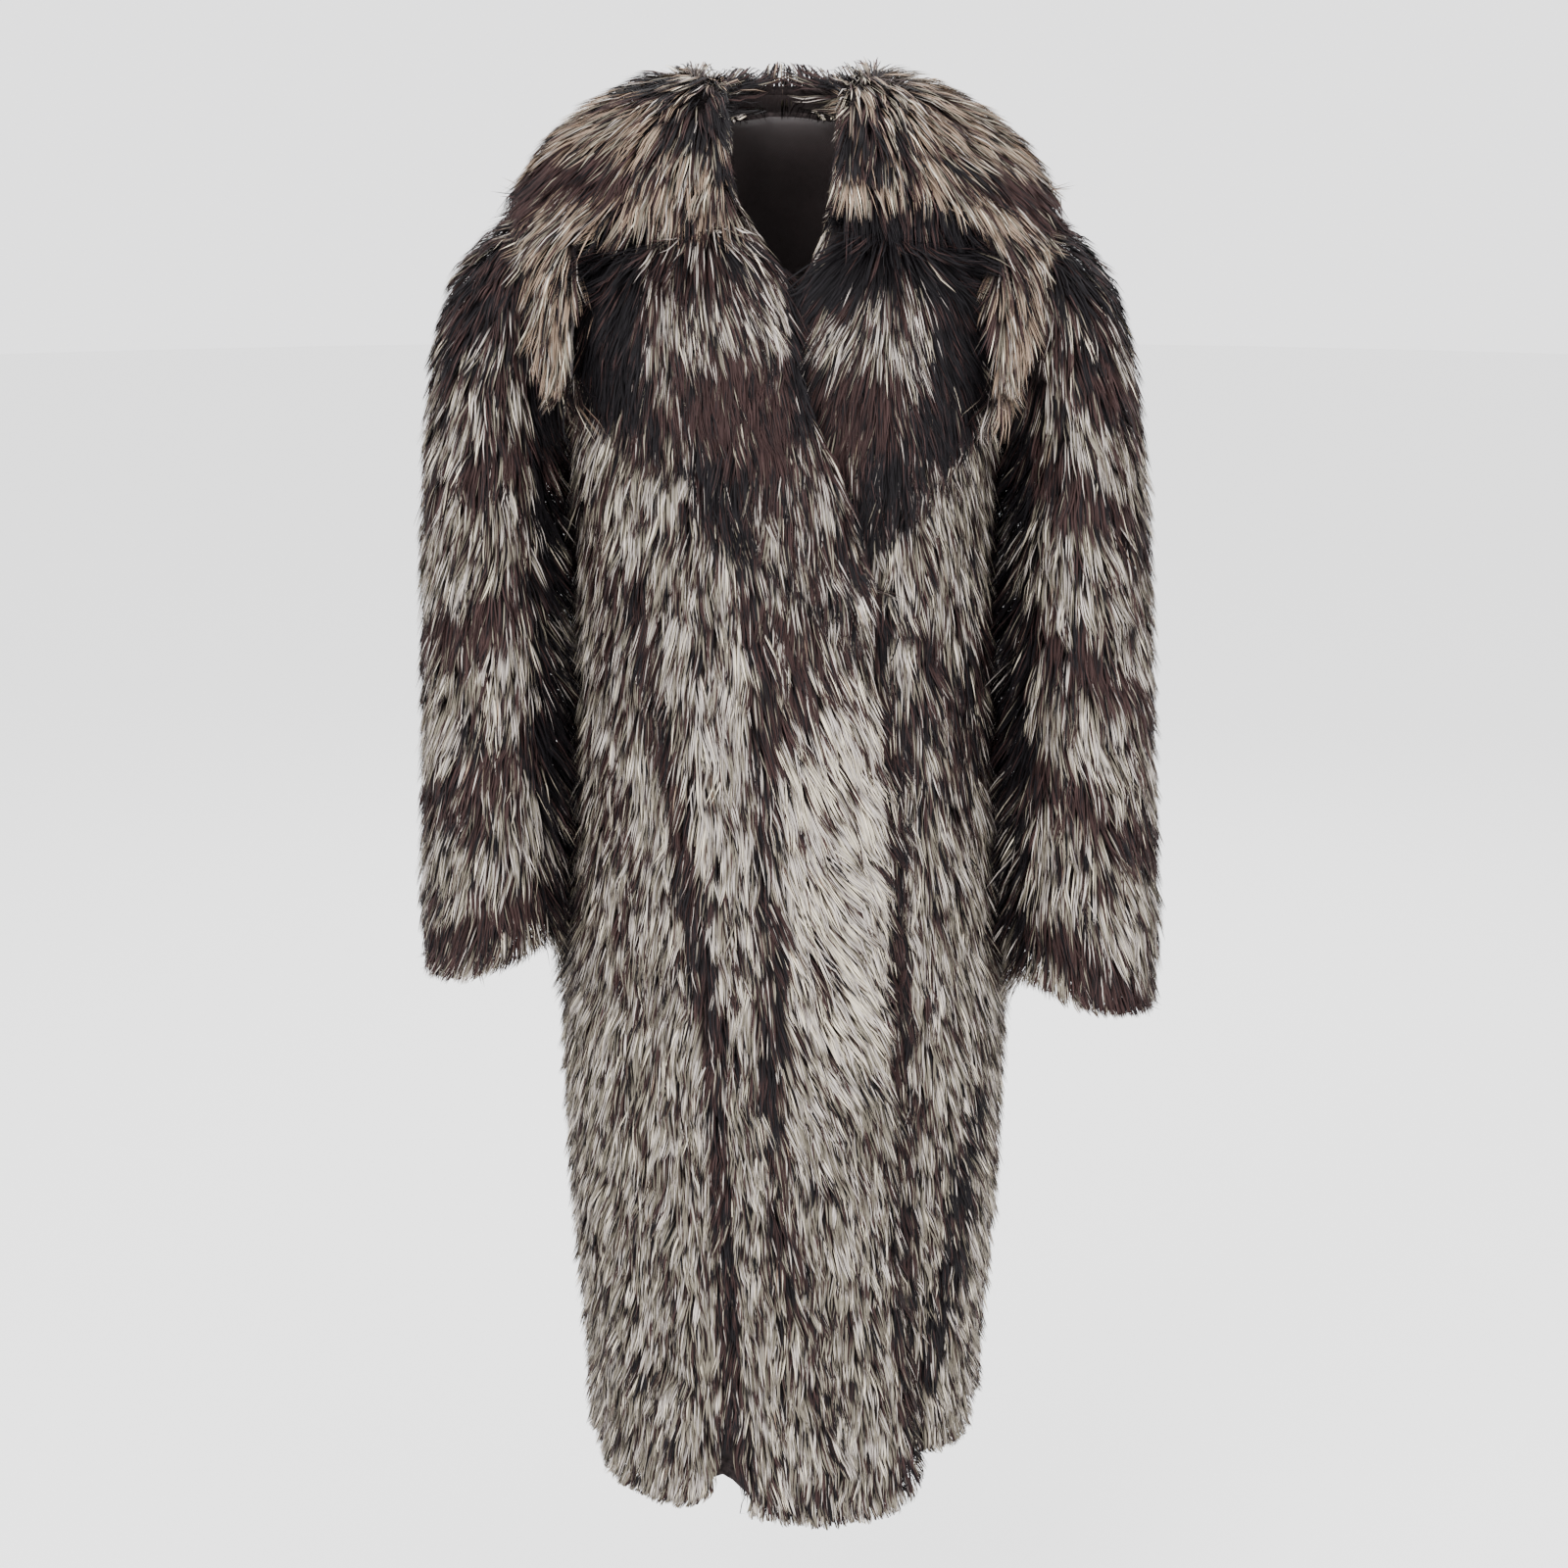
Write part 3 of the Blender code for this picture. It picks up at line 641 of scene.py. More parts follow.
def back_lie(points):
    return falling(BACK_SWAY * np.sin(points[:, 0] * BACK_SWAYS))


def front_lie(points):
    """Hair on the fronts falls, and sweeps to the wearer's left down the middle."""
    x, z = points[:, 0], points[:, 2]
    return falling(sum(sweep.lean * swell(x, sweep.across) * swell(z, sweep.down) for sweep in SWEEPS))


def sleeve_lie(points, side):
    lean = SLEEVE_LEAN + SLEEVE_LEAN_MORE * swell(points[:, 0] * side, SLEEVE_OUTER_SIDE)
    return falling(side * lean, SLEEVE_LEAN_FORWARD)


def lapel_lie(points, name):
    x, z = LAPEL_FANS[name]
    fan = points - np.column_stack([np.full(len(points), x), points[:, 1], np.full(len(points), z)])
    fan[:, 2] = np.minimum(fan[:, 2], -LAPEL_LEAST_FALL)
    fan[:, 0] *= 1.0 - CREASE_HANG * swell(points[:, 0], LAPEL_CREASE)
    return fan


def collar_lie(points):
    x, y, z = points.T
    middle = np.clip(x, -COLLAR_FAN_REACH, COLLAR_FAN_REACH)
    depth = np.clip(y, *COLLAR_FAN_DEPTHS)
    fan = points - np.column_stack([middle, depth, np.full(len(x), COLLAR_FAN_TOP)])
    hanging = climb(z, COLLAR_HANGS) * (y < 0.0)
    inwards = np.sign(fan[:, 0]) * LEAN_TO_LAPEL * climb(np.abs(x), BESIDE_LAPEL)
    fan[:, 0] -= (fan[:, 0] + inwards) * hanging
    return fan


def lie_of(name, points):
    """The way the hair grows at each point, before it is laid along the skin."""
    if name in LAPEL_FANS:
        return lapel_lie(points, name)
    if name == "collar":
        return collar_lie(points)
    if "sleeve" in name:
        return sleeve_lie(points, side_of(name))
    return back_lie(points) if name == "back" else front_lie(points)


def streak_distance(points, line):
    """Distance from each point to a bent line, seen from the front."""
    seen = points[:, [0, 2]]
    nearest = np.full(len(seen), np.inf)
    for start, end in zip(line[:-1], line[1:]):
        start, run = np.array(start), np.array(end) - np.array(start)
        way = np.clip((seen - start) @ run / (run @ run), 0.0, 1.0)
        nearest = np.minimum(nearest, np.linalg.norm(seen - start - way[:, None] * run, axis=1))
    return nearest


def mark_cover(points, mark):
    """How strongly a patch or streak shows at each point, from 0 to 1."""
    if isinstance(mark, Streak):
        away = streak_distance(points, mark.points) / mark.reach
    else:
        away = np.hypot((points[:, 0] - mark.x) / mark.across, (points[:, 2] - mark.z) / mark.down)
    away = away + MARK_RAGGED * ripple(points, MARK_RIPPLE)
    return mark.strength * (1.0 - climb(away, Slope(MARK_FULL, MARK_FADE)))


def tier_cover(points, name):
    """The dark top edge of each crosswise pelt on a sleeve."""
    drop = points[:, 2] + TIER_SLOPES[name] * (np.abs(points[:, 0]) - TIER_INNER_EDGE)
    drop = drop + TIER_RAGGED * ripple(points, TIER_RIPPLE)
    cover = np.zeros(len(points))
    for height in SLEEVE_TIERS[name]:
        below = height - drop
        above = np.clip(1.0 + below / (0.5 * TIER_DARK), 0.0, 1.0)
        fade = 1.0 - climb(below, Slope(TIER_DARK, TIER_FADE))
        cover = np.maximum(cover, np.where(below < 0.0, above, fade))
    return cover


def flank_painted_shade(points):
    """Painted shade: black hair on the flanks, where sleeve and body face each other."""
    ends = climb(points[:, 2], FLANK_SHADE_TOP) * climb(points[:, 2], FLANK_SHADE_FOOT)
    return ends * np.clip(FLANK_SHADE_FILL * swell(np.abs(points[:, 0]), FLANK_SHADE_BAND), 0.0, 1.0) * FLANK_SHADE_SHARE


def blend_mixes(shares, cover, mix):
    return shares * (1.0 - cover[:, None]) + np.array(MIXES[mix]) * cover[:, None]


def tone_shares(name, points):
    """Shares of the six tones at each point."""
    cloth = cloth_of(name)
    shares = np.tile(np.array(MIXES[GROUND[cloth]], float), (len(points), 1))
    if cloth in ("front", "back"):
        shares = blend_mixes(shares, climb(points[:, 2], LOW_BODY) * LOW_BODY_KHAKI, "khaki")
        # painted shade between sleeve and body, as black hair on the body's flanks
        shares = blend_mixes(shares, flank_painted_shade(points), "black")
    if cloth == "sleeve":
        shares = blend_mixes(shares, tier_cover(points, name) * TIER_BROWN, "brown")
        # painted shade between sleeve and body, as black hair on the sleeve's inner side
        shares = blend_mixes(shares, flank_painted_shade(points), "black")
        clouds = np.clip(ripple(points, SLEEVE_RIPPLE), 0.0, 1.0)
        shares = blend_mixes(shares, SLEEVE_KHAKI * clouds, "khaki")
    for mark in CLOTH[cloth]:
        shares = blend_mixes(shares, mark_cover(points, mark), mark.mix)
    darker = np.clip(ripple(points, CLOUD_RIPPLE), 0.0, 1.0) * CLOUD_BROWN
    shares = blend_mixes(shares, darker, "brown") + STRAY
    return shares / shares.sum(axis=1, keepdims=True)


# ---------------------------------------------------------------------------
# Growing the hair.
# ---------------------------------------------------------------------------

TUFT = 6  # hairs to a tuft
TRIAL_ROOTS = 3000
LEAST_OPEN = 0.05  # the smallest share of a piece that is taken to lie open

# A strand's two bends: how far along it, how far off the skin against the tip, how wide against
# the widest place, and how strongly its tuft draws it in against the tip.
Bend = namedtuple("Bend", "place rise width pull")
LOWER = Bend(0.36, 0.10, 1.0, 0.12)
UPPER = Bend(0.70, 0.62, 0.86, 0.50)
TIP_PULL = 1.0
TUFT_REACH = Slope(0.022, -0.010)  # a hair further than this from its tuft isn't drawn in

# Ranges of a random factor, drawn once for each tuft and once for each hair.
Spread = namedtuple("Spread", "tuft hair")
LENGTHS = Spread((0.74, 1.0), (0.84, 1.08))
LIFTS = Spread((0.45, 1.25), (0.7, 1.2))
PULLS = Spread((0.7, 1.2), (0.85, 1.1))
OVERHANGS = (0.5, 1.0)
TUFT_TURN = 0.085  # how far tufts and hairs turn from the lie, in radians
HAIR_TURN = 0.05
LIE_RIPPLE = Ripple(0.055, SEED + 1)
FINE_LIE_RIPPLE = Ripple(0.020, SEED + 2)
FINE_SHARE = 0.6

# How a hair is laid down on the coat beneath it.
TURNED_AWAY = 0.25  # skin that faces further off than this isn't the hair's own
ROOT_SHARE = 0.6  # how much the root's own normal counts at the foot
RAISED = 0.010  # how far a hair may be raised out of the skin
SUNK = 0.045  # how far it may sink onto it
SUNK_SHALLOW = 0.010  # the same in front on the collar and lapels
EDGE_FADE = Slope(0.025, -0.020)  # past an edge it is laid down less and less
LONGEST_CUT = 0.8  # how much of a hair may be taken off where it overhangs

FURTHEST = 0.0175  # how far hair may stand before or behind the coat's own depth
DROOP = 0.85  # how steeply the tips at the collar's back sink past its edge

# The hair on the collar's front edges, which face the lapels, hangs free below the notch.
NOTCH_TOP = -0.045
INWARD_FACING = 0.25
FREE_SPREAD = 0.18
FREE_LENGTH = 0.75

# Where hair is shorter: down the body, and on the collar beside the neck.
LOW_CUT = Slope(-0.55, -0.4)
LOW_CUT_SHARE = 0.26
NECK_CUT = Band(0.05, 0.045)
NECK_CUT_SHARE = 0.35

# Where hair overhangs an edge less or more.
BESIDE_OPENING = Band(0.0, 0.11)
OPENING_FOOT = -0.20
OPENING_BACK = 0.05
OPENING_SHARE = 0.75
HEM_EDGE = Slope(-1.08, -0.03)
HEM_SHARE = 0.75
TIPS_ACROSS = 0.07  # the collar's front tips lie beyond this
TIPS_FOOT = -0.16
TIPS_SHARE = 0.9
BEHIND_NECK = 0.05
BEHIND_SHARE = 0.5

# Where hair stands fuller, which is where sleeve and body meet, or lower, at the collar's back.
UNDER_ARM = Slope(-0.17, -0.05)
ABOVE_CUFF = Slope(-0.75, 0.1)
BODY_FLANK = Band(0.215, 0.050)
SLEEVE_FLANK = Band(0.195, 0.032)
FULLER_BODY = 2.4
FULLER_SLEEVE = 1.6
FULLER_FILL = 1.5
COLLAR_BACK = Slope(0.04, 0.06)
LOWER_BACK = 0.40


def scatter(name, count, draw):
    """Root places spread evenly over the furred skin, with the skin's normal at each."""
    skin = SKINS[name]
    corners = skin.points[skin.triangles]
    sides = np.cross(corners[:, 1] - corners[:, 0], corners[:, 2] - corners[:, 0])
    areas = np.linalg.norm(sides, axis=1)
    picked = draw.choice(len(areas), size=count, p=areas / areas.sum())
    first, second = draw.random(count), draw.random(count)
    folded = first + second > 1.0
    first[folded], second[folded] = 1.0 - first[folded], 1.0 - second[folded]
    weights = np.stack([1.0 - first - second, first, second], axis=1)[:, :, None]
    roots = (corners[picked] * weights).sum(axis=1)
    normals = unit((skin.normals[skin.triangles[picked]] * weights).sum(axis=1))
    return roots, normals


def open_roots(name, roots, normals):
    """False where another piece lies over the root."""
    others = [other for other in PIECES if other != name]
    tree, ends = tree_of([(SKINS[other].points, SKINS[other].solid) for other in others])
    kept = np.ones(len(roots), bool)
    for index, (start, normal) in enumerate(zip((roots + RAY_START * normals).tolist(), normals.tolist())):
        where, _, face, distance = tree.ray_cast(start, normal, COVER_REACH)
        if where is None:
            continue
        other = others[int(np.searchsorted(ends, face, side="right"))]
        reach = COVER_REACH if other in COVERS.get(name, ()) else NEIGHBOUR_REACH
        kept[index] = distance > reach
    return kept


def grow_roots(name, count, draw):
    """Scatters until about the wanted number of roots lie open."""
    trial = scatter(name, TRIAL_ROOTS, draw)
    share = max(open_roots(name, *trial).mean(), LEAST_OPEN)
    roots, normals = scatter(name, int(count / share), draw)
    kept = open_roots(name, roots, normals)
    return roots[kept][:count], normals[kept][:count]


def tuft_numbers(roots):
    """Gathers the roots into tufts, each round the nearest of evenly picked centres."""
    centres = np.arange(0, len(roots), TUFT)
    tree = KDTree(len(centres))
    for number, root in enumerate(roots[centres].tolist()):
        tree.insert(root, number)
    tree.balance()
    return np.array([tree.find(root)[1] for root in roots.tolist()]), centres


def turned(directions, normals, angles):
    """Directions turned about their normals."""
    sideways = np.cross(normals, directions)
    return directions * np.cos(angles)[:, None] + sideways * np.sin(angles)[:, None]


def varied(spread, tufts, draw):
    """A random factor for each hair, from one draw for its tuft and one for itself."""
    return draw.uniform(*spread.tuft, tufts.max() + 1)[tufts] * draw.uniform(*spread.hair, len(tufts))


def lay_down(points, normals, deepest):
    """Each point laid on the coat, the skin's normal there and how far past an edge it is."""
    feet = np.empty_like(points)
    skins = np.empty_like(points)
    for index, point in enumerate(points.tolist()):
        feet[index], skins[index] = COAT_TREE.find_nearest(point)[:2]
    turned_away = (skins * normals).sum(axis=1, keepdims=True) < TURNED_AWAY
    skins = np.where(turned_away, normals, unit(skins + ROOT_SHARE * normals))
    height = ((points - feet) * skins).sum(axis=1)
    past = np.linalg.norm(points - feet - skins * height[:, None], axis=1)
    sunk = np.clip(height, -RAISED, deepest) * climb(past, EDGE_FADE)
    laid = points - skins * sunk[:, None]
    return laid, skins, past


def hangs_free(name, roots, normals):
    """True on the collar's front edges, which face the lapels."""
    inward = normals[:, 0] * np.sign(roots[:, 0]) < -INWARD_FACING
    return inward & (name == "collar") & (roots[:, 1] < 0.0) & (roots[:, 2] < NOTCH_TOP)


def over_opening(path):
    """True where a hair would reach across the V of the neck or into the front notch of the hem."""
    heights, left, right = (np.array(column) for column in zip(*NECK_OPENING))
    crossing = np.zeros(len(path), bool)
    for place, margin in ((2, BEND_MARGIN), (3, TIP_MARGIN)):
        x, y, z = path[:, place].T
        inside = x > np.interp(z, heights, left) + margin
        inside &= x < np.interp(z, heights, right) - margin
        crossing |= inside & (y < OPENING_DEPTH) & (z > heights[0])
    x, y, z = path[:, 3].T
    drop = HEM_NOTCH.z - z
    in_notch = np.abs(x - HEM_NOTCH.x) < HEM_NOTCH.half + HEM_NOTCH.flare * drop
    return crossing | (in_notch & (drop > 0.0) & (y < 0.0))


def region_length(name, points):
    """Hair is shorter down the body and beside the neck."""
    factor = np.ones(len(points))
    if cloth_of(name) in ("front", "back"):
        factor -= LOW_CUT_SHARE * climb(points[:, 2], LOW_CUT)
    if name == "collar":
        factor -= NECK_CUT_SHARE * swell(np.hypot(points[:, 0], points[:, 1]), NECK_CUT)
    return factor


def region_overhang(name, points):
    """Hair keeps back from the neck opening and the hem, and passes the collar's edge the furthest."""
    x, y, z = points.T
    opening = swell(x, BESIDE_OPENING) * (z > OPENING_FOOT) * (y < OPENING_BACK)
    factor = 1.0 - HEM_SHARE * climb(z, HEM_EDGE)
    if name == "collar":
        factor += TIPS_SHARE * ((y < 0.0) & (z > TIPS_FOOT) & (np.abs(x) > TIPS_ACROSS))
        factor += BEHIND_SHARE * ((y > BEHIND_NECK) & (z < 0.0))
    return factor - OPENING_SHARE * np.clip(2.0 * opening, 0.0, 1.0)


def region_lift(name, points):
    """Hair stands fuller between the sleeves and the body, and lower at the back of the collar."""
    x, y, z = points.T
    if cloth_of(name) in ("front", "back"):
        flank = np.clip(FULLER_FILL * swell(np.abs(x), BODY_FLANK), 0.0, 1.0)
        return 1.0 + FULLER_BODY * climb(z, UNDER_ARM) * climb(z, ABOVE_CUFF) * flank
    if cloth_of(name) == "sleeve":
        flank = np.clip(FULLER_FILL * swell(np.abs(x), SLEEVE_FLANK), 0.0, 1.0)
        return 1.0 + FULLER_SLEEVE * climb(z, UNDER_ARM) * flank
    if name == "collar":
        return 1.0 - LOWER_BACK * climb(y, COLLAR_BACK)
    return np.ones(len(points))


def combed(name, roots, normals, waviness, tufts, draw):
    """The direction along the skin in which each hair grows."""
    lie = lie_of(name, roots)
    lie = unit(lie - normals * (lie * normals).sum(axis=1, keepdims=True))
    wander = waviness * (ripple(roots, LIE_RIPPLE) + FINE_SHARE * ripple(roots, FINE_LIE_RIPPLE))
    wander += draw.normal(0.0, TUFT_TURN, tufts.max() + 1)[tufts] + draw.normal(0.0, HAIR_TURN, len(roots))
    return turned(lie, normals, wander)


def draw_together(path, leaders, pull):
    """Moves the bends and tips of each tuft towards its leader's."""
    for place, share in ((1, LOWER.pull), (2, UPPER.pull), (3, TIP_PULL)):
        towards = path[leaders, place] - path[:, place]
        near_enough = climb(np.linalg.norm(towards, axis=1), TUFT_REACH)
        path[:, place] += towards * (pull * share * near_enough)[:, None]


def grow(name, fur, draw):
    """Paths of all the hair of a piece: points (hairs, 4, 3), skin normals and tufts."""
    piece = PIECES[name]
    roots, normals = grow_roots(name, piece.hairs, draw)
    count = len(roots)
    tufts, centres = tuft_numbers(roots)
    lie = combed(name, roots, normals, fur.waviness, tufts, draw)
    length = piece.longest * fur.length * region_length(name, roots) * varied(LENGTHS, tufts, draw)
    lift = fur.lift * region_lift(name, roots) * varied(LIFTS, tufts, draw)
    in_front = (name == "collar" or name in LAPEL_FANS) & (roots[:, 1] < 0.0)
    deepest = np.where(in_front, SUNK_SHALLOW, SUNK)
    tip, tip_skin, past = lay_down(roots + lie * length[:, None], normals, deepest)
    allowed = fur.overhang * region_overhang(name, roots) * draw.uniform(*OVERHANGS, count)
    excess = np.clip(past - allowed, 0.0, LONGEST_CUT * length)
    tip = tip - lie * excess[:, None]
    behind = (name == "collar") & (roots[:, 1] > 0.0)
    tip -= tip_skin * (DROOP * behind * (past - excess))[:, None]
    upper = roots + lie * ((length - excess) * UPPER.place)[:, None]
    upper, upper_skin, _ = lay_down(upper, normals, deepest)
    free = hangs_free(name, roots, normals)
    drop = unit(np.array([0.0, 0.0, -1.0]) + FREE_SPREAD * normals[free]) * FREE_LENGTH * length[free, None]
    tip[free] = roots[free] + drop
    upper[free] = roots[free] + drop * UPPER.place
    tip_skin[free] = upper_skin[free] = normals[free]
    lower = roots + (upper - roots) * (LOWER.place / UPPER.place)
    path = np.empty((count, 4, 3))
    path[:, 0] = roots - normals * fur.root_depth
    path[:, 1] = lower + normals * (lift * LOWER.rise)[:, None]
    path[:, 2] = upper + upper_skin * (lift * UPPER.rise)[:, None]
    path[:, 3] = tip + tip_skin * lift[:, None]
    draw_together(path, centres[tufts], fur.pull * varied(PULLS, tufts, draw))
    front, rear = (corner[1] for corner in FRAME_BOUNDS)
    path[:, :, 1] = np.clip(path[:, :, 1], front - FURTHEST, rear + FURTHEST)
    return path, unit(normals + upper_skin), tufts


# How freely hairs of one tuft differ in tone, and how many follow no tuft.
TONE_STRAY = 0.17
LONE_HAIRS = 0.18
SHADE_STRAY = 0.26
SHADE_MARGIN = 0.03


def tone_places(name, places, tufts, draw):
    """Each hair's place across the hair map, from the colour of the fur where it shows."""
    count = len(places)
    number = tufts.max() + 1
    chance = draw.random(number)[tufts] + draw.normal(0.0, TONE_STRAY, count)
    lone = draw.random(count) < LONE_HAIRS
    chance = np.where(lone, draw.random(count), chance)
    chance = 1.0 - np.abs(1.0 - np.abs(chance))
    steps = np.cumsum(tone_shares(name, places), axis=1)
    tone = np.minimum((chance[:, None] > steps).sum(axis=1), len(TONES) - 1)
    starts = np.array([each.start for each in TONES])[tone]
    ends = np.array([each.end for each in TONES])[tone]
    within = draw.random(number)[tufts] + draw.normal(0.0, SHADE_STRAY, count)
    within = np.clip(within, SHADE_MARGIN, 1.0 - SHADE_MARGIN)
    return starts + (ends - starts) * within


# A strand is flat and turned about its length at random. It is shaded mostly as the skin under it.
TWIST = 0.45
WIDTHS = (0.65, 1.15)
OWN_SHADING = 0.35
SHADING_STRAY = 0.16
CORNERS = 6  # points to a ribbon
LOOPS = np.array([0, 2, 1, 1, 2, 4, 3, 3, 4, 5])  # its root triangle, its quad and its tip triangle
FACES = (3, 4, 3)
FACE_STARTS = np.array([0, 3, 7])
MAP_HALF_WIDTH = 0.0035  # of a ribbon on the hair map
MAP_ENDS = (0.01, 0.99)


def ribbon_points(path, normals, width, draw):
    """The six points of each ribbon: root, two pairs and tip, and a shading normal for each."""
    count = len(path)
    along = unit(path[:, 3] - path[:, 1])
    across = unit(np.cross(along, normals))
    flat = np.cross(across, along)
    twist = draw.normal(0.0, TWIST, count)[:, None]
    across = across * np.cos(twist) + flat * np.sin(twist)
    half = 0.5 * width * draw.uniform(*WIDTHS, count)[:, None]
    points = np.empty((count, CORNERS, 3))
    points[:, 0] = path[:, 0]
    for bend, shape in ((1, LOWER), (2, UPPER)):
        aside = across * half * shape.width
        points[:, 2 * bend - 1] = path[:, bend] - aside
        points[:, 2 * bend] = path[:, bend] + aside
    points[:, 5] = path[:, 3]
    strays = draw.normal(0.0, SHADING_STRAY, (count, 3))
    shading = unit(normals + OWN_SHADING * np.cross(across, along) + strays)
    return points, np.repeat(shading[:, None, :], CORNERS, axis=1)


def ribbon_mesh(name, points, normals, tones):
    """Joins the ribbons in one mesh: a triangle, a quad and a triangle each."""
    count = len(points)
    loops = (np.arange(count)[:, None] * CORNERS + LOOPS).ravel()
    starts = (np.arange(count)[:, None] * len(LOOPS) + FACE_STARTS).ravel()
    totals = np.tile(FACES, count)
    mesh = bpy.data.meshes.new(name)
    mesh.vertices.add(count * CORNERS)
    mesh.vertices.foreach_set("co", points.astype(np.float32).ravel())
    mesh.loops.add(len(loops))
    mesh.loops.foreach_set("vertex_index", loops.astype(np.int32))
    mesh.polygons.add(len(starts))
    mesh.polygons.foreach_set("loop_start", starts.astype(np.int32))
    mesh.polygons.foreach_set("loop_total", totals.astype(np.int32))
    mesh.update(calc_edges=True)
    sides = MAP_HALF_WIDTH * np.array([0.0, -1.0, 1.0, -1.0, 1.0, 0.0])
    across = (tones[:, None] + sides).ravel()
    low, high = MAP_ENDS
    along = np.tile([low, LOWER.place, LOWER.place, UPPER.place, UPPER.place, high], count)
    places = np.column_stack([across[loops], along[loops]]).astype(np.float32).ravel()
    for title in ("OFBake", "Fur"):
        mesh.uv_layers.new(name=title).data.foreach_set("uv", places)
    mesh.shade_smooth()
    mesh.normals_split_custom_set_from_vertices(normals.reshape(-1, 3).astype(np.float32))
    return mesh


def link(name, data):
    """A new object in the scene."""
    made = bpy.data.objects.new(name, data)
    bpy.context.scene.collection.objects.link(made)
    return made


TONE_PLACE = 0.6  # a hair's tone is read this far from its lower to its upper bend


def make_fur(name, settings, material):
    draw = np.random.default_rng(SEED + sorted(PIECES).index(name) * SEED_STEP)
    path, normals, tufts = grow(name, settings, draw)
    clear = ~over_opening(path)
    path, normals, tufts = path[clear], normals[clear], tufts[clear]
    shown = (1.0 - TONE_PLACE) * path[:, 1] + TONE_PLACE * path[:, 2]
    tones = tone_places(name, shown, tufts, draw)
    points, shading = ribbon_points(path, normals, settings.width, draw)
    fur = link("fur_" + name, ribbon_mesh("fur_" + name, points, shading, tones))
    fur.data.materials.append(material)
    return fur


# ---------------------------------------------------------------------------
# The pelts: leather and underwool, lined inside.
# ---------------------------------------------------------------------------

WOOL_DEPTH = 0.009
RIM_DEPTH = 0.8  # of the wool at a rim, against its depth elsewhere
SHARPEST_JOIN = math.radians(40)  # triangles that meet more sharply stay apart
SKEWEST_QUAD = math.radians(60)


def set_in(mesh):
    """Moves the furred side inwards by the depth of the wool."""
    inward = {}
    for vertex in mesh.verts:
        furred = [face for face in vertex.link_faces if face.material_index == OUTSIDE]
        heading = sum((face.normal * face.calc_area() for face in furred), vertex.normal * 0.0)
        if heading.length > 0.0:
            share = 1.0 if len(furred) == len(vertex.link_faces) else RIM_DEPTH
            inward[vertex] = heading.normalized() * (WOOL_DEPTH * share)
    for vertex, step in inward.items():
        vertex.co -= step


def make_pelt(name, wool, lining):
    """The piece's own form with its furred side set in, so that the hair rises out of it."""
    mesh = welded(name)
    set_in(mesh)
    for face in mesh.faces:
        face.material_index = int(face.material_index == INSIDE)
        face.smooth = True
    bmesh.ops.join_triangles(mesh, faces=mesh.faces, angle_face_threshold=SHARPEST_JOIN,
                             angle_shape_threshold=SKEWEST_QUAD, cmp_materials=True)
    data = bpy.data.meshes.new("pelt_" + name)
    mesh.to_mesh(data)
    mesh.free()
    pelt = link("pelt_" + name, data)
    pelt.data.materials.append(wool)
    pelt.data.materials.append(lining)
    smooth = pelt.modifiers.new("Softened", "SUBSURF")
    smooth.levels = 1
    smooth.render_levels = 1
    return pelt


def finishes(context):
    """The coat's three finishes, made once."""
    if "guard_hair" not in bpy.data.materials:
        colours = context.scene.fox_colours
        hair_finish(colours)
        underwool_finish(colours)
        lining_finish(colours)
    return [bpy.data.materials[name] for name in ("guard_hair", "underwool", "lining_satin")]


def dress(context, name):
    hair, wool, lining = finishes(context)
    fur = make_fur(name, context.scene.fox_fur, hair)
    if not len(fur.data.polygons):
        raise RuntimeError("no hair grew on " + name)
    pelt = make_pelt(name, wool, lining)
    for part in (pelt, fur):
        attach(part, "root")
    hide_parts(name)


# ---------------------------------------------------------------------------
# Operators, panel and registration.
# ---------------------------------------------------------------------------

class FOX_OT_body(bpy.types.Operator):
    """Dress the two fronts and the back"""
    bl_idname = "fox.body"
    bl_label = "Fronts and back"

    def execute(self, context):
        for name in ("front_right", "front_left", "back"):
            dress(context, name)
        return {"FINISHED"}


class FOX_OT_sleeves(bpy.types.Operator):
    """Dress both sleeves in crosswise pelts"""
    bl_idname = "fox.sleeves"
    bl_label = "Sleeves"

    def execute(self, context):
        for name in ("sleeve_right", "sleeve_left"):
            dress(context, name)
        return {"FINISHED"}


class FOX_OT_collar(bpy.types.Operator):
    """Dress the notched collar in pale fox"""
    bl_idname = "fox.collar"
    bl_label = "Collar"

    def execute(self, context):
        dress(context, "collar")
        return {"FINISHED"}


class FOX_OT_lapels(bpy.types.Operator):
    """Dress both lapels in dark fox"""
    bl_idname = "fox.lapels"
    bl_label = "Lapels"

    def execute(self, context):
        for name in ("lapel_right", "lapel_left"):
            dress(context, name)
        return {"FINISHED"}


Softbox = namedtuple("Softbox", "name place size share")
SOFTBOXES = (
    Softbox("key", (-1.5, -2.6, 1.3), 2.0, 1.0),
    Softbox("fill", (1.9, -2.2, 0.4), 2.2, 0.55),
    Softbox("top", (0.2, 0.6, 2.4), 2.4, 0.8),
    Softbox("behind", (0.4, 3.0, 1.0), 2.4, 0.45),
)


def add_softbox(box, power, target):
    """A round area light that looks at the coat."""
    lamp = bpy.data.lights.new(box.name, "AREA")
    lamp.shape = "DISK"
    lamp.size = box.size
    lamp.energy = power * box.share
    made = link(box.name, lamp)
    made.location = box.place
    aim = target - made.location
    made.rotation_euler = aim.to_track_quat("-Z", "Y").to_euler()


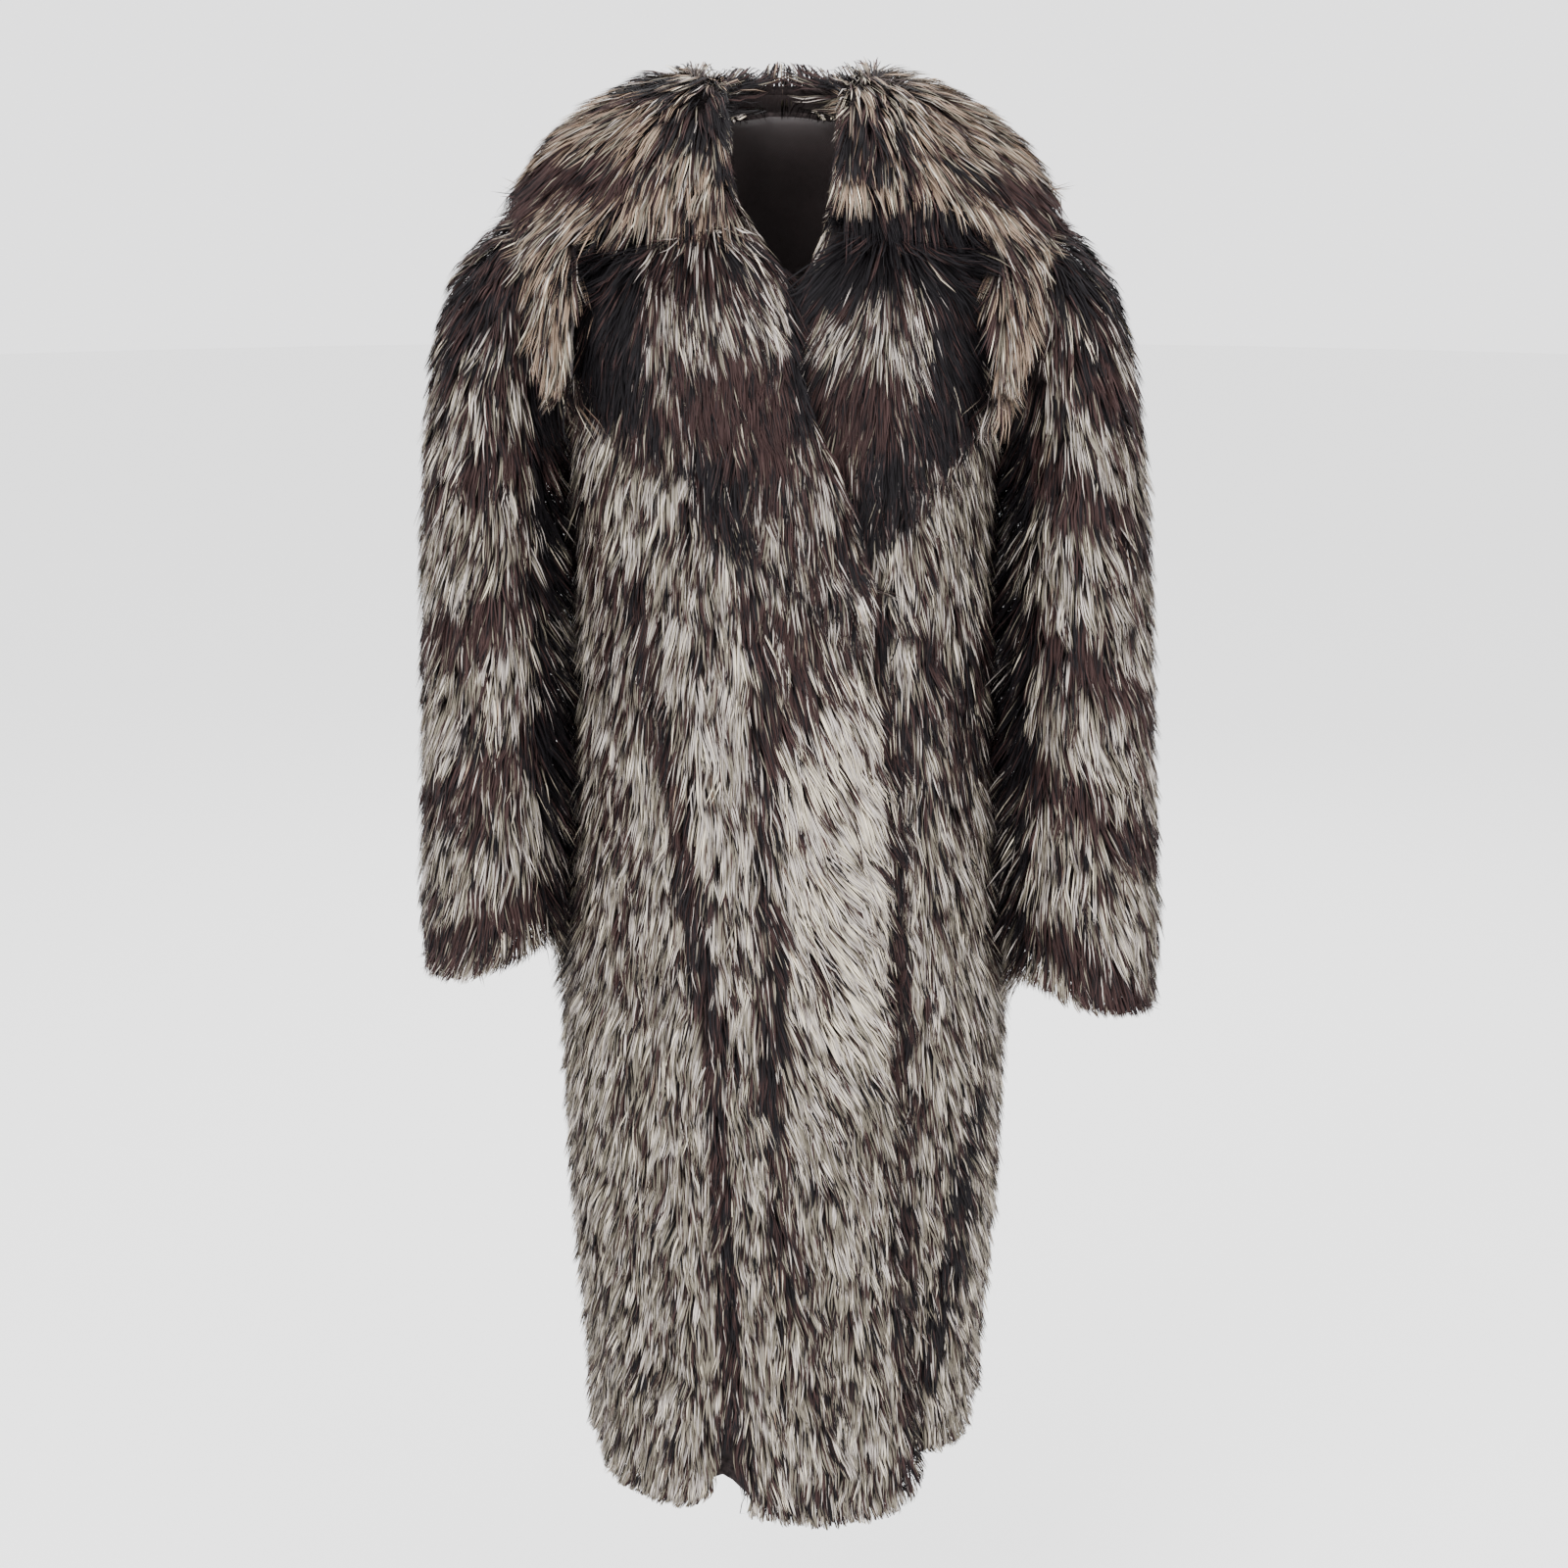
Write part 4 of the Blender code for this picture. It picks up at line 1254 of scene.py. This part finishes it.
class FOX_OT_stage(bpy.types.Operator):
    """Lay the floor, set the lights and place the camera"""
    bl_idname = "fox.stage"
    bl_label = "Stage"

    def execute(self, context):
        stage = context.scene.fox_stage
        mesh = bmesh.new()
        bmesh.ops.create_circle(mesh, cap_ends=True, radius=14.0, segments=96)
        data = bpy.data.meshes.new("floor")
        mesh.to_mesh(data)
        mesh.free()
        floor = link("floor", data)
        floor.location.z = -stage.floor_drop
        paper = Finish("floor_paper", {"Base Color": (0.90, 0.90, 0.895, 1.0), "Roughness": 0.9})
        floor.data.materials.append(paper.material)
        low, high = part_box("front_right")
        target = (low + high) / 2.0
        for box in SOFTBOXES:
            add_softbox(box, stage.key, target)
        world = bpy.data.worlds.new("studio")
        world.use_nodes = True
        sky = world.node_tree.nodes["Background"]
        sky.inputs["Color"].default_value = (0.97, 0.97, 0.98, 1.0)
        sky.inputs["Strength"].default_value = 2.4
        context.scene.world = world
        lens = bpy.data.cameras.new("camera")
        lens.lens = stage.lens
        lens.sensor_width = 36.0
        camera = link("camera", lens)
        camera.location = (0.0, -stage.distance, stage.height)
        camera.rotation_euler = (math.pi / 2.0 - stage.tilt, 0.0, 0.0)
        context.scene.camera = camera
        return {"FINISHED"}


class FOX_PT_coat(bpy.types.Panel):
    """Lists the coat's settings and its pieces"""
    bl_label = "Fox Coat"
    bl_idname = "FOX_PT_coat"
    bl_space_type = "VIEW_3D"
    bl_region_type = "UI"
    bl_category = "Fox Coat"

    def draw(self, context):
        for group in (context.scene.fox_fur, context.scene.fox_colours, context.scene.fox_stage):
            box = self.layout.box()
            for name in group.__annotations__:
                box.prop(group, name)
        for operator in OPERATORS:
            self.layout.operator(operator.bl_idname)


OPERATORS = (FOX_OT_stage, FOX_OT_body, FOX_OT_sleeves, FOX_OT_collar, FOX_OT_lapels)
GROUPS = {"fox_fur": FurSettings, "fox_colours": ColourSettings, "fox_stage": StageSettings}


def register():
    for each in (*GROUPS.values(), *OPERATORS, FOX_PT_coat):
        bpy.utils.register_class(each)
    for name, group in GROUPS.items():
        setattr(bpy.types.Scene, name, bpy.props.PointerProperty(type=group))


def unregister():
    for name in GROUPS:
        delattr(bpy.types.Scene, name)
    for each in (FOX_PT_coat, *OPERATORS, *GROUPS.values()):
        bpy.utils.unregister_class(each)


def main():
    register()
    bpy.ops.fox.stage()
    bpy.ops.fox.body()
    bpy.ops.fox.sleeves()
    bpy.ops.fox.collar()
    bpy.ops.fox.lapels()


if __name__ == "__main__":
    main()
